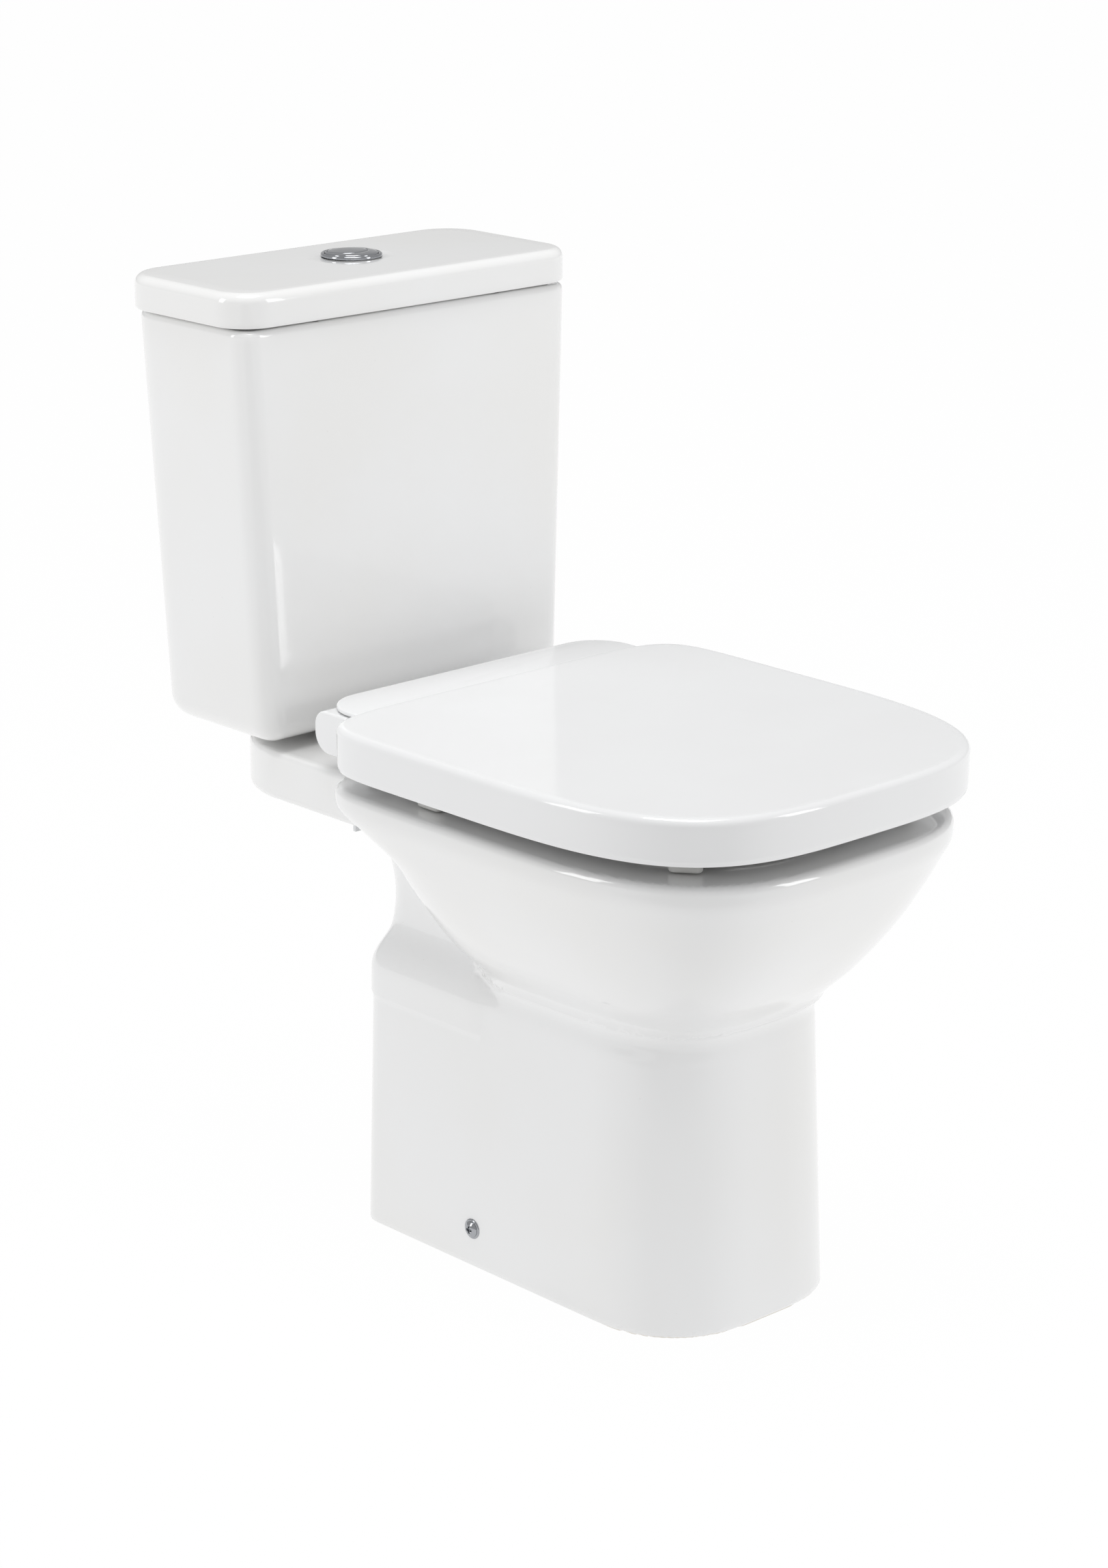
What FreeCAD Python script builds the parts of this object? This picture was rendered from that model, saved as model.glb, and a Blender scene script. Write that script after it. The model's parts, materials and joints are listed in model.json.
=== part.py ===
import FreeCAD, Part
"""Close coupled toilet: china pan and cistern, dual flush fittings, hinged seat ring and cover.

Frame: millimetres, +Z up, the front of the bowl faces -Y, X = 0 is the plane of symmetry.
The origin is the centre of the outline on the floor.
"""
import math
import os
import re

from FreeCAD import Placement, Rotation, Vector

# --------------------------------------------------------------------------- driving sizes
SIZES = {
    # whole object
    "overall_depth": 670.0,
    "overall_height": 780.0,
    # china pan
    "pan_top": 404.0,
    "rim_half_width": 183.0,
    "rim_front": "=overall_depth / 2 - 7",
    "rim_rear": 98.0,
    "rim_widest": 80.0,
    "rim_edge_radius": 7.0,
    "bowl_foot_height": 235.0,
    "bowl_foot_half_width": 99.5,
    "bowl_foot_front": "=overall_depth / 2 - 104.5",
    "bowl_foot_rear": 15.0,
    "bowl_mouth_half_width": 128.0,
    "bowl_mouth_front": "=overall_depth / 2 - 67",
    "bowl_mouth_rear": 34.0,
    "sump_half_width": 36.0,
    "sump_floor": 122.0,
    "china_wall": 11.0,
    "foot_half_width": 108.5,
    "foot_front": "=overall_depth / 2 - 93",
    "foot_rear": 130.0,
    "foot_flare": 5.0,
    "foot_top": 248.0,
    "foot_front_corner": 78.0,
    "foot_rear_corner": 24.0,
    "foot_shoulder_radius": 20.0,
    "neck_half_width": 81.0,
    "neck_rear": 128.5,
    "neck_corner": 28.0,
    "neck_foot_flare": 18.0,
    "neck_top_flare": 14.0,
    "ledge_half_width": 149.0,
    "ledge_rear": "=overall_depth / 2 - 89",
    "ledge_rear_bow": 34.0,
    "ledge_rear_flat": 9.165,
    "ledge_thickness": 42.0,
    "ledge_corner": 34.0,
    "ledge_edge_radius": 5.0,
    "trap_radius": 27.0,
    "trap_crest": 232.0,
    "outlet_height": 180.0,
    "outlet_radius": 51.0,
    "outlet_bore": 43.0,
    "outlet_end": 163.0,
    "outlet_collar_radius": 55.0,
    "outlet_collar_length": 3.0,
    "outlet_bore_depth": 12.0,
    # china cistern
    "tank_clearance": 7.0,
    "tank_top": "=overall_height - lid_thickness - lid_gap",
    "tank_top_half_width": 177.0,
    "tank_foot_half_width": "=tank_top_half_width - 14",
    "tank_rear_gap": 2.0,
    "tank_foot_rear_gap": 14.0,
    "tank_top_depth": 156.0,
    "tank_foot_depth": 150.0,
    "tank_front_corner": 20.0,
    "tank_rear_corner": 38.0,
    "tank_wall": 10.0,
    "tank_foot_edge": 18.0,
    "tank_top_edge": 4.5,
    "lid_width": "=2 * tank_top_half_width + 10",
    "lid_depth": "=tank_top_depth + 4",
    "lid_thickness": 28.0,
    "lid_gap": 2.0,
    "lid_front_corner": 32.0,
    "lid_rear_corner": 40.0,
    "lid_edge_radius": 8.0,
    "lid_skin": 9.0,
    "lid_lip_depth": 9.0,
    "lid_lip_clearance": 2.0,
    "lid_pad_radius": 4.0,
    # joint between the tank and the pan
    "coupling_y": "=overall_depth / 2 - 105",
    "coupling_recess_radius": 40.0,
    "coupling_recess_depth": 13.0,
    "coupling_bore": 27.0,
    "flush_channel_width": 48.0,
    "flush_channel_height": 13.0,
    "gasket_wall": 9.0,
    "valve_tail_radius": 24.0,
    "valve_tail_length": 26.0,
    "back_nut_wall": 6.0,
    "back_nut_height": 11.0,
    "fit_clearance": 0.5,
    "cistern_bolt_spacing": 144.0,
    "cistern_bolt_radius": 3.9,
    "cistern_bolt_hole": 5.5,
    "cistern_seal_radius": 14.0,
    "cistern_seal_height": 4.0,
    "cistern_head_height": 5.0,
    "washer_height": 2.0,
    "wing_nut_height": 9.0,
    "wing_nut_radius": 8.0,
    "wing_span": 32.0,
    "wing_thickness": 3.0,
    "bolt_end_length": 5.0,
    # flush valve
    "valve_flange_radius": 31.0,
    "valve_flange_height": 6.0,
    "valve_cage_radius": 27.0,
    "valve_cage_wall": 2.5,
    "valve_cage_height": "=(tank_top - pan_top - tank_clearance) * 185 / 339",
    "actuator_width": 40.0,
    "actuator_depth": 84.0,
    "actuator_height": 18.0,
    "actuator_y": "=coupling_y + 18",
    "valve_window_width": 24.0,
    "valve_window_height": "=valve_cage_height * 54 / 185",
    "valve_seal_radius": 21.0,
    "valve_seal_height": 4.0,
    "spool_radius": 11.0,
    "spool_wall": 2.0,
    "spool_height": "=valve_cage_height - 35",
    # fill valve
    "fill_x": 108.0,
    "fill_y": "=coupling_y + 58",
    "fill_shank_radius": 11.0,
    "fill_tail_radius": 10.4,
    "fill_tail_end": 360.0,
    "fill_shank_bore": 5.0,
    "fill_shank_hole": 11.5,
    "fill_column_radius": 12.5,
    "fill_column_height": "=valve_cage_height + 30",
    "fill_flange_radius": 17.0,
    "fill_flange_height": 4.0,
    "fill_nut_radius": 15.5,
    "fill_nut_height": 9.0,
    "fill_head_height": 30.0,
    "fill_head_radius": 17.0,
    "float_radius": 19.0,
    "float_height": 46.0,
    "float_arm_length": 42.0,
    "float_arm_width": 9.0,
    "float_arm_height": 7.0,
    "float_pin_radius": 2.5,
    "float_pin_clearance": 0.06,
    "float_pivot_offset": 22.0,
    "float_lug_thickness": 3.0,
    "float_side_gap": 0.6,
    # dual flush button
    "button_x": 10.0,
    "button_y": "=coupling_y + 36",
    "button_radius": 25.5,
    "bezel_rim_height": 3.0,
    "bezel_wall": 1.6,
    "bezel_length": 44.0,
    "bezel_lid_clearance": 0.8,
    "button_gap": 0.7,
    "button_rise": 3.0,
    "button_depth": 11.0,
    "half_button_radius": "=button_radius - 9",
    "half_button_offset": 3.5,
    "push_rod_radius": 3.0,
    "push_rod_gap": 20.0,
    "full_rod_offset": "=button_radius - 7.9",
    "bezel_nut_height": 8.0,
    "bezel_nut_wall": 6.0,
    # seat
    "cover_half_width": "=rim_half_width + 13",
    "cover_front": "=overall_depth / 2",
    "cover_rear": "=hinge_y - 23",
    "cover_top": 459.5,
    "cover_skirt": 37.0,
    "cover_wall": 5.0,
    "cover_edge_radius": 6.5,
    "ring_clearance": 2.5,
    "ring_bottom": 416.5,
    "ring_thickness": 23.0,
    "ring_edge_radius": 4.0,
    "ring_hole_half_width": 112.0,
    "ring_hole_front": "=overall_depth / 2 - 73",
    "ring_hole_rear": 12.0,
    "ring_buffer_length": 26.0,
    "ring_buffer_width": 11.0,
    "cover_buffer_radius": 6.0,
    "buffer_gap": 0.3,
    "hinge_y": 102.0,
    "hinge_height": 439.5,
    "hinge_roll_radius": 20.0,
    "hinge_post_x": 116.0,
    "hinge_post_width": 26.0,
    "hinge_roll_end": 158.0,
    "hinge_gap": 0.6,
    "hinge_pin_radius": 4.0,
    "hinge_pin_clearance": 0.06,
    "hinge_pin_length": 64.0,
    "hinge_foot_radius": 15.0,
    "hinge_foot_height": 4.0,
    "hinge_bolt_radius": 3.8,
    "hinge_bolt_hole": 6.5,
    "hinge_washer_radius": 12.0,
    # floor fixing
    "floor_screw_y": -12.0,
    "floor_screw_z": 33.8,
    "floor_screw_radius": 3.0,
    "floor_screw_hole": 4.2,
    "floor_head_radius": 7.0,
    "floor_head_height": 3.2,
    "floor_washer_radius": 8.5,
    "floor_washer_height": 1.2,
    "bracket_width": 34.0,
    "bracket_height": 56.0,
    "bracket_foot": 44.0,
    "bracket_thickness": 3.5,
    "bracket_block": 9.0,
    "bracket_bolt_radius": 3.5,
    "bracket_head_radius": 6.5,
    "bracket_head_height": 5.0,
}

doc = FreeCAD.newDocument("CloseCoupledToilet")
sheet = doc.addObject("Spreadsheet::Sheet", "Sizes")
for row, (alias, number) in enumerate(SIZES.items(), start=1):
    sheet.set("A%d" % row, alias.replace("_", " "))
    sheet.set("B%d" % row, str(number))
    sheet.setAlias("B%d" % row, alias)
doc.recompute()


class SheetReader:
    """Reads a driving size from the spreadsheet by its alias."""

    def __getattr__(self, alias):
        return float(sheet.get(alias))


size = SheetReader()
NODES = []


# --------------------------------------------------------------------------- document helpers
def formula(text):
    """Turn the aliases in a formula into references to the sheet."""
    return re.sub(r"[a-z][a-z_]*[a-z]", lambda word: refer(word.group()), text)


def refer(word):
    """Name a cell of the sheet, and leave any other word as it is."""
    return "Sizes." + word if word in SIZES else word


def place(thing, at, turn=None):
    """Bind the position of an object to three formulas and set its rotation."""
    rotation = turn if turn is not None else Rotation()
    thing.Placement = Placement(Vector(), rotation)
    for letter, text in zip("xyz", at):
        thing.setExpression("Placement.Base." + letter, formula(text))
    return thing


def cylinder(name, radius, height, at, turn=None):
    """A Part::Cylinder whose sizes and place are formulas on the sheet."""
    thing = doc.addObject("Part::Cylinder", name)
    thing.setExpression("Radius", formula(radius))
    thing.setExpression("Height", formula(height))
    return place(thing, at, turn)


def block(name, sizes, at):
    """A Part::Box centred on x and y, standing on its z."""
    thing = doc.addObject("Part::Box", name)
    for prop, text in zip(("Length", "Width", "Height"), sizes):
        thing.setExpression(prop, formula(text))
    x, y, z = at
    corner = ("%s - (%s) / 2" % (x, sizes[0]), "%s - (%s) / 2" % (y, sizes[1]), z)
    return place(thing, corner)


def fuse(name, things):
    """A boolean union of document objects."""
    thing = doc.addObject("Part::MultiFuse", name)
    thing.Shapes = things
    thing.Refine = True
    return thing


def cut(name, base, tool):
    """A boolean difference of two document objects."""
    thing = doc.addObject("Part::Cut", name)
    thing.Base = base
    thing.Tool = tool
    thing.Refine = True
    return thing


def several(name, things):
    """Separate solids that share one node."""
    thing = doc.addObject("Part::Compound", name)
    thing.Links = things
    return thing


def feature(name, shape):
    """A Part::Feature that holds a shape made with Part's own functions."""
    thing = doc.addObject("Part::Feature", name)
    thing.Shape = shape
    return thing


def node(label, thing):
    """Give a finished sub-part its name and put it on the list that is written out."""
    thing.Label = label
    NODES.append(thing)
    return thing


def wing_nut(name, x, y, z, bore_radius):
    """A nut with two wings across X, bored for its bolt."""
    hub = cylinder("WingHub" + name, "wing_nut_radius", "wing_nut_height", (x, y, z))
    wings = block("Wings" + name, ("wing_span", "wing_thickness", "wing_nut_height"), (x, y, z))
    bore = cylinder("WingBore" + name, bore_radius, "wing_nut_height", (x, y, z))
    return cut("WingNut" + name, fuse("WingSolid" + name, [hub, wings]), bore)


ALONG_X = Rotation(Vector(0, 1, 0), 90)
ALONG_Y = Rotation(Vector(1, 0, 0), -90)


# --------------------------------------------------------------------------- outlines
def egg(half_width, front, rear, widest, front_power, rear_power, z, count=32):
    """A closed smooth outline: two half superellipses that meet where it is widest."""
    points = []
    for step in range(count):
        angle = 2 * math.pi * (step + 0.5) / count
        across = math.sin(angle)
        along = -math.cos(angle)
        power = front_power if along < 0 else rear_power
        reach = (front - widest) if along < 0 else (rear + widest)
        radius = (abs(across) ** power + abs(along) ** power) ** (-1.0 / power)
        points.append(Vector(half_width * across * radius, reach * along * radius - widest, z))
    curve = Part.BSplineCurve()
    curve.interpolate(points, PeriodicFlag=True)
    return Part.Wire([curve.toShape()])


def rounded(half_width, front, rear, front_corner, rear_corner, z):
    """A rectangle with rounded corners, symmetric about X = 0, from y = front to y = rear."""
    corners = [
        (half_width, front, front_corner, -90),
        (half_width, rear, rear_corner, 0),
        (-half_width, rear, rear_corner, 90),
        (-half_width, front, front_corner, 180),
    ]
    edges = []
    last = None
    first = None
    for x, y, radius, start in corners:
        centre = Vector(x - math.copysign(radius, x), y + radius if y == front else y - radius, z)
        points = [centre + turned(radius, start + bend) for bend in (0, 45, 90)]
        if last is not None:
            edges.append(Part.LineSegment(last, points[0]).toShape())
        edges.append(Part.Arc(*points).toShape())
        first = first if first is not None else points[0]
        last = points[2]
    edges.append(Part.LineSegment(last, first).toShape())
    return Part.Wire(Part.__sortEdges__(edges))


def turned(radius, degrees):
    """A vector of a given length in the XY plane."""
    angle = math.radians(degrees)
    return Vector(radius * math.cos(angle), radius * math.sin(angle), 0)


def loft(wires, ruled=False):
    """A solid through a stack of closed outlines."""
    return Part.makeLoft(wires, True, ruled)


def prism(wire, height):
    """An upright solid on a closed outline."""
    return Part.Face(wire).extrude(Vector(0, 0, height))


def box_between(low, high):
    """An upright box between two corners."""
    low_corner = Vector(*low)
    reach = Vector(*high) - low_corner
    return Part.makeBox(reach.x, reach.y, reach.z, low_corner)


def edges_at(shape, z, margin=0.01):
    """The edges that lie in the level plane at z."""
    found = []
    for edge in shape.Edges:
        box = edge.BoundBox
        if abs(box.ZMin - z) < margin and abs(box.ZMax - z) < margin:
            found.append(edge)
    return found


def round_edges(shape, radius, z):
    """Round every edge that lies in the level plane at z."""
    return shape.makeFillet(radius, edges_at(shape, z))


# --------------------------------------------------------------------------- places worked out once
REAR = size.overall_depth / 2
LEDGE_BOTTOM = size.pan_top - size.ledge_thickness
TANK_FOOT = size.pan_top + size.tank_clearance
TANK_REAR = REAR - size.tank_rear_gap
TANK_FLOOR = TANK_FOOT + size.tank_wall
LID_BOTTOM = size.overall_height - size.lid_thickness
FRONT_POWER = 3.5


# --------------------------------------------------------------------------- china pan
def bowl_skin(inset):
    """The bowl's outer skin, or a skin inside it: full at the rim, drawn in towards the foot."""
    top = size.pan_top
    drop = top - size.bowl_foot_height
    levels = [
        # share of the drop, share of the way in, share of the rear's way in, rear power
        (0.00, 0.000, 0.00, 8.0),
        (0.11, 0.006, 0.03, 8.0),
        (0.18, 0.061, 0.10, 7.0),
        (0.31, 0.172, 0.32, 4.5),
        (0.45, 0.306, 0.47, 3.6),
        (0.59, 0.465, 0.57, 3.0),
        (0.74, 0.667, 0.72, 2.7),
        (0.90, 0.920, 0.94, 2.5),
        (1.00, 1.000, 1.00, 2.5),
    ]
    wires = []
    for down, inward, rear_share, rear_power in levels:
        half_width = size.rim_half_width + inward * (size.bowl_foot_half_width - size.rim_half_width)
        front = size.rim_front + inward * (size.bowl_foot_front - size.rim_front)
        rear = size.rim_rear + rear_share * (size.bowl_foot_rear - size.rim_rear)
        z = top - down * drop
        outline = egg(
            half_width - inset,
            front - inset,
            rear - inset,
            size.rim_widest,
            FRONT_POWER,
            rear_power,
            z,
        )
        wires.append(outline)
    return loft(wires)


def bowl_outside():
    """The bowl's outside with its rim rounded."""
    return round_edges(bowl_skin(0), size.rim_edge_radius, size.pan_top)


def bowl_void():
    """The space between the bowl's outer skin and its liner, closed below the rim."""
    wall = size.china_wall
    half_width = size.rim_half_width
    cap = box_between(
        (-half_width, -size.rim_front, size.pan_top - 2 * wall),
        (half_width, size.rim_rear, size.pan_top + 1),
    )
    return bowl_skin(wall).cut(cap)


def bowl_levels():
    """The bowl's inner outlines: half width, front, rear and height, from the mouth to the sump."""
    top = size.pan_top
    mouth = (size.bowl_mouth_half_width, size.bowl_mouth_front, size.bowl_mouth_rear)
    sump = (size.sump_half_width, size.sump_half_width + 22, size.sump_half_width - 12)
    heights = (top + 1, top - 34, top - 80, top - 130, top - 175, top - 225, size.sump_floor)
    shares = (0.0, -0.02, 0.10, 0.40, 0.72, 0.93, 1.0)
    levels = []
    for z, share in zip(heights, shares):
        numbers = [a + share * (b - a) for a, b in zip(mouth, sump)]
        levels.append((numbers[0], numbers[1], numbers[2], z))
    return levels


def bowl_inside(grow=0.0):
    """The hollow of the bowl, or its outer liner when grown by a wall."""
    wires = []
    for half_width, front, rear, z in bowl_levels():
        widest = min(size.rim_widest, front / 2)
        wires.append(egg(half_width + grow, front + grow, rear + grow, widest, 2.4, 2.6, z - grow))
    return loft(wires)


def foot_outline(inset, share, z):
    """The foot's outline at a height; share runs from 0 at the floor to 1 at its top."""
    flare = size.foot_flare * share + inset
    return rounded(
        size.foot_half_width - flare,
        -size.foot_front + 2 * size.foot_flare * share + inset,
        size.foot_rear - 0.5 * size.foot_flare * share - inset,
        size.foot_front_corner - inset,
        max(size.foot_rear_corner - inset, 4),
        z,
    )


def foot_outside():
    """The pedestal: nearly upright sides and a rounded shoulder."""
    body = loft([foot_outline(0, 0, 0), foot_outline(0, 1, size.foot_top)], True)
    return round_edges(body, size.foot_shoulder_radius, size.foot_top)


def foot_hollow():
    """The open underside of the pedestal."""
    wall = size.china_wall
    top = size.foot_top - 2 * wall
    return loft([foot_outline(wall, 0, -1), foot_outline(wall, 1, top)], True)


def neck():
    """The narrow trap housing between the pedestal and the ledge, flared at both ends."""
    low = size.foot_top - 26
    high = LEDGE_BOTTOM + 2
    waist = low + 0.42 * (high - low)
    stations = [
        # height, extra half width, extra rear
        (low, size.neck_foot_flare, 0),
        (0.5 * (low + waist), 0.3 * size.neck_foot_flare, 0),
        (waist, 0, 0),
        (0.45 * waist + 0.55 * high, 0.35 * size.neck_top_flare, 0.5 * size.neck_top_flare),
        (high, size.neck_top_flare, 1.6 * size.neck_top_flare),
    ]
    wires = []
    for z, wide, back in stations:
        wires.append(
            rounded(
                size.neck_half_width + wide,
                -30,
                size.neck_rear + back,
                size.neck_corner,
                size.neck_corner,
                z,
            )
        )
    return loft(wires)


def ledge_outline():
    """The shelf's outline: straight sides, rounded corners and a rear edge that bows outwards."""
    half_width = size.ledge_half_width
    corner = size.ledge_corner
    rear = size.ledge_rear
    bow_end = half_width - 0.8 * corner
    bow_radius = (bow_end**2 + size.ledge_rear_bow**2) / (2 * size.ledge_rear_bow)
    bow = Part.makeCylinder(bow_radius, 1, Vector(0, rear + size.ledge_rear_bow - bow_radius, 0))
    slab_length = rear + size.ledge_rear_flat - 20
    slab = Part.makeBox(2 * half_width, slab_length, 1, Vector(-half_width, 20, 0))
    plate = bow.common(slab)
    uprights = [edge for edge in plate.Edges if is_upright(edge) and edge.CenterOfMass.y > rear - corner]
    plate = plate.makeFillet(corner, uprights)
    top = max(plate.Faces, key=lambda face: face.CenterOfMass.z)
    outline = top.OuterWire.copy()
    outline.translate(Vector(0, 0, LEDGE_BOTTOM - 1))
    return outline


def is_upright(edge):
    """True for a straight edge that runs along Z."""
    box = edge.BoundBox
    return box.XLength < 0.01 and box.YLength < 0.01


def ledge():
    """The shelf behind the bowl that carries the cistern."""
    body = prism(ledge_outline(), size.ledge_thickness)
    body = round_edges(body, size.ledge_edge_radius, size.pan_top)
    return round_edges(body, size.ledge_edge_radius, LEDGE_BOTTOM)


def trap_route():
    """The centre line of the trap, from the sump over its crest to the outlet."""
    return [
        Vector(0, -12, size.sump_floor + size.trap_radius + 4),
        Vector(0, 26, size.sump_floor + size.trap_radius + 18),
        Vector(0, 52, size.trap_crest),
        Vector(0, 84, size.trap_crest),
        Vector(0, 96, size.outlet_height + 8),
        Vector(0, size.foot_rear, size.outlet_height),
    ]


def tube(points, radius):
    """Straight round runs with a ball at every bend."""
    solid = Part.makeSphere(radius, points[0])
    for start, end in zip(points, points[1:]):
        run = end - start
        solid = solid.fuse(Part.makeCylinder(radius, run.Length, start, run))
        solid = solid.fuse(Part.makeSphere(radius, end))
    return solid


def pan_drillings():
    """Every hole through the pan that takes a fitting."""
    tools = []
    top = size.pan_top
    down = Vector(0, 0, -1)
    inlet = Vector(0, size.coupling_y, top + 1)
    tools.append(Part.makeCylinder(size.coupling_recess_radius, size.coupling_recess_depth + 1, inlet, down))
    channel_floor = LEDGE_BOTTOM + 9
    tools.append(Part.makeCylinder(size.coupling_bore, top + 1 - channel_floor, inlet, down))
    corner = Vector(-size.flush_channel_width / 2, 0, channel_floor)
    tools.append(
        Part.makeBox(size.flush_channel_width, size.coupling_y, size.flush_channel_height, corner)
    )
    for side in (-1, 1):
        bolt = Vector(side * size.cistern_bolt_spacing / 2, size.coupling_y, top + 1)
        tools.append(Part.makeCylinder(size.cistern_bolt_hole, size.ledge_thickness + 2, bolt, down))
        hinge = Vector(side * size.hinge_post_x, size.hinge_y, top + 1)
        tools.append(Part.makeCylinder(size.hinge_bolt_hole, size.ledge_thickness + 2, hinge, down))
        seat = Vector(side * size.hinge_post_x, size.hinge_y, LEDGE_BOTTOM)
        room = size.hinge_washer_radius + size.fit_clearance
        tools.append(Part.makeCylinder(room, size.washer_height + size.fit_clearance, seat, down))
        screw = Vector(side * (size.foot_half_width + 5), size.floor_screw_y, size.floor_screw_z)
        reach = size.china_wall + 20
        tools.append(Part.makeCylinder(size.floor_screw_hole, reach, screw, Vector(-side, 0, 0)))
    return tools


def make_pan():
    """One china casting: bowl, pedestal, trap, ledge, outlet and their hollows."""
    spigot_start = size.foot_rear - 2 * size.china_wall
    spigot = Part.makeCylinder(
        size.outlet_radius,
        size.outlet_end - spigot_start,
        Vector(0, spigot_start, size.outlet_height),
        Vector(0, 1, 0),
    )
    collar = Part.makeCylinder(
        size.outlet_collar_radius,
        size.foot_rear + size.outlet_collar_length - spigot_start,
        Vector(0, spigot_start, size.outlet_height),
        Vector(0, 1, 0),
    )
    outside = bowl_outside().multiFuse([foot_outside(), neck(), ledge(), spigot, collar])
    liner = bowl_inside(size.china_wall)
    trap_skin = tube(trap_route(), size.trap_radius + size.china_wall)
    core = foot_hollow().fuse(bowl_void())
    hollow = core.cut(liner).cut(trap_skin).cut(collar)
    bore_start = size.foot_rear - size.outlet_bore_depth
    outlet = Part.makeCylinder(
        size.outlet_bore,
        size.outlet_end - bore_start + 5,
        Vector(0, bore_start, size.outlet_height),
        Vector(0, 1, 0),
    )
    tools = [bowl_inside(), tube(trap_route(), size.trap_radius), hollow, outlet]
    return outside.cut(tools + pan_drillings())


node("pan", feature("Pan", make_pan()))


# --------------------------------------------------------------------------- china cistern
def tank_outline(inset, share, z):
    """The cistern's outline; share runs from 0 at its foot to 1 at its top."""
    half_width = size.tank_foot_half_width
    half_width += share * (size.tank_top_half_width - size.tank_foot_half_width)
    depth = size.tank_foot_depth + share * (size.tank_top_depth - size.tank_foot_depth)
    rear = TANK_REAR - (1 - share) * (size.tank_foot_rear_gap - size.tank_rear_gap)
    return rounded(
        half_width - inset,
        rear - depth + inset,
        rear - inset,
        size.tank_front_corner - min(inset, size.tank_front_corner / 2),
        size.tank_rear_corner - inset,
        z,
    )


def make_tank():
    """The china tank: tapered walls, an open top and drilled floor."""
    body = loft([tank_outline(0, 0, TANK_FOOT), tank_outline(0, 1, size.tank_top)], True)
    body = round_edges(body, size.tank_foot_edge, TANK_FOOT)
    body = round_edges(body, size.tank_top_edge, size.tank_top)
    wall = size.tank_wall
    share = wall / (size.tank_top - TANK_FOOT)
    inside = loft([tank_outline(wall, share, TANK_FLOOR), tank_outline(wall, 1, size.tank_top + 1)], True)
    drillings = [tank_drilling(size.valve_tail_radius + size.fit_clearance, 0, size.coupling_y)]
    drillings.append(tank_drilling(size.fill_shank_hole, size.fill_x, size.fill_y))
    for side in (-1, 1):
        bolt_x = side * size.cistern_bolt_spacing / 2
        drillings.append(tank_drilling(size.cistern_bolt_hole, bolt_x, size.coupling_y))
    return body.cut([inside] + drillings)


def tank_drilling(radius, x, y):
    """A cutter for a round hole through the floor of the tank."""
    return Part.makeCylinder(radius, size.tank_wall + 4, Vector(x, y, TANK_FOOT - 2))


node("cistern_tank", feature("Tank", make_tank()))


def lid_outline(inset, z):
    """The lid's outline, inset all round."""
    half_width = size.lid_width / 2 - inset
    return rounded(
        half_width,
        REAR - size.lid_depth + inset,
        REAR - inset,
        size.lid_front_corner - inset,
        size.lid_rear_corner - inset,
        z,
    )


def make_lid():
    """The china lid: a rounded slab, hollow below, with a lip that drops inside the tank."""
    body = prism(lid_outline(0, LID_BOTTOM), size.lid_thickness)
    body = round_edges(body, size.lid_edge_radius, size.overall_height)
    body = round_edges(body, 2, LID_BOTTOM)
    reach = size.tank_wall + size.lid_lip_clearance
    lip = prism(tank_outline(reach, 1, LID_BOTTOM - size.lid_lip_depth), size.lid_lip_depth + 2)
    body = body.fuse(lip)
    hollow_height = size.overall_height - size.lid_skin - LID_BOTTOM + size.lid_lip_depth + 1
    hollow_low = LID_BOTTOM - size.lid_lip_depth - 1
    hollow = prism(tank_outline(reach + size.lid_skin, 1, hollow_low), hollow_height)
    boss = Part.makeCylinder(
        size.button_radius + 12,
        size.overall_height - LID_BOTTOM - size.lid_skin,
        Vector(size.button_x, size.button_y, LID_BOTTOM + 3),
    )
    hole = Part.makeCylinder(
        bezel_outer() + size.bezel_lid_clearance,
        size.lid_thickness + 20,
        Vector(size.button_x, size.button_y, LID_BOTTOM - 10),
    )
    return body.cut(hollow.cut(boss)).cut(hole)


def bezel_outer():
    """Outer radius of the sleeve that passes through the lid."""
    return size.button_radius - 1.5


node("cistern_lid", feature("Lid", make_lid()))

pads = []
for side_name, side in (("Left", "-"), ("Right", "")):
    for end_name, pad_y in (
        ("Front", "overall_depth / 2 - tank_rear_gap - tank_top_depth + tank_wall / 2"),
        ("Rear", "overall_depth / 2 - tank_rear_gap - tank_wall / 2"),
    ):
        pad_x = side + "(tank_top_half_width * 0.55)"
        pads.append(
            cylinder(
                "LidPad" + side_name + end_name, "lid_pad_radius", "lid_gap", (pad_x, pad_y, "tank_top")
            )
        )
node("lid_pads", several("LidPads", pads))

# --------------------------------------------------------------------------- coupling to the pan
coupling_low = "pan_top - coupling_recess_depth"
tank_foot = "pan_top + tank_clearance"
ring = cylinder(
    "GasketBlank",
    "coupling_recess_radius - fit_clearance",
    "coupling_recess_depth + tank_clearance",
    ("0", "coupling_y", coupling_low),
)
bore = cylinder(
    "GasketBore",
    "coupling_recess_radius - fit_clearance - gasket_wall",
    "coupling_recess_depth + tank_clearance",
    ("0", "coupling_y", coupling_low),
)
node("coupling_gasket", cut("Gasket", ring, bore))

nut = cylinder(
    "ValveNutBlank",
    "valve_tail_radius + back_nut_wall",
    "back_nut_height",
    ("0", "coupling_y", tank_foot + " - back_nut_height"),
)
nut_bore = cylinder(
    "ValveNutBore",
    "valve_tail_radius",
    "back_nut_height",
    ("0", "coupling_y", tank_foot + " - back_nut_height"),
)
node("flush_valve_back_nut", cut("ValveNut", nut, nut_bore))

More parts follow.
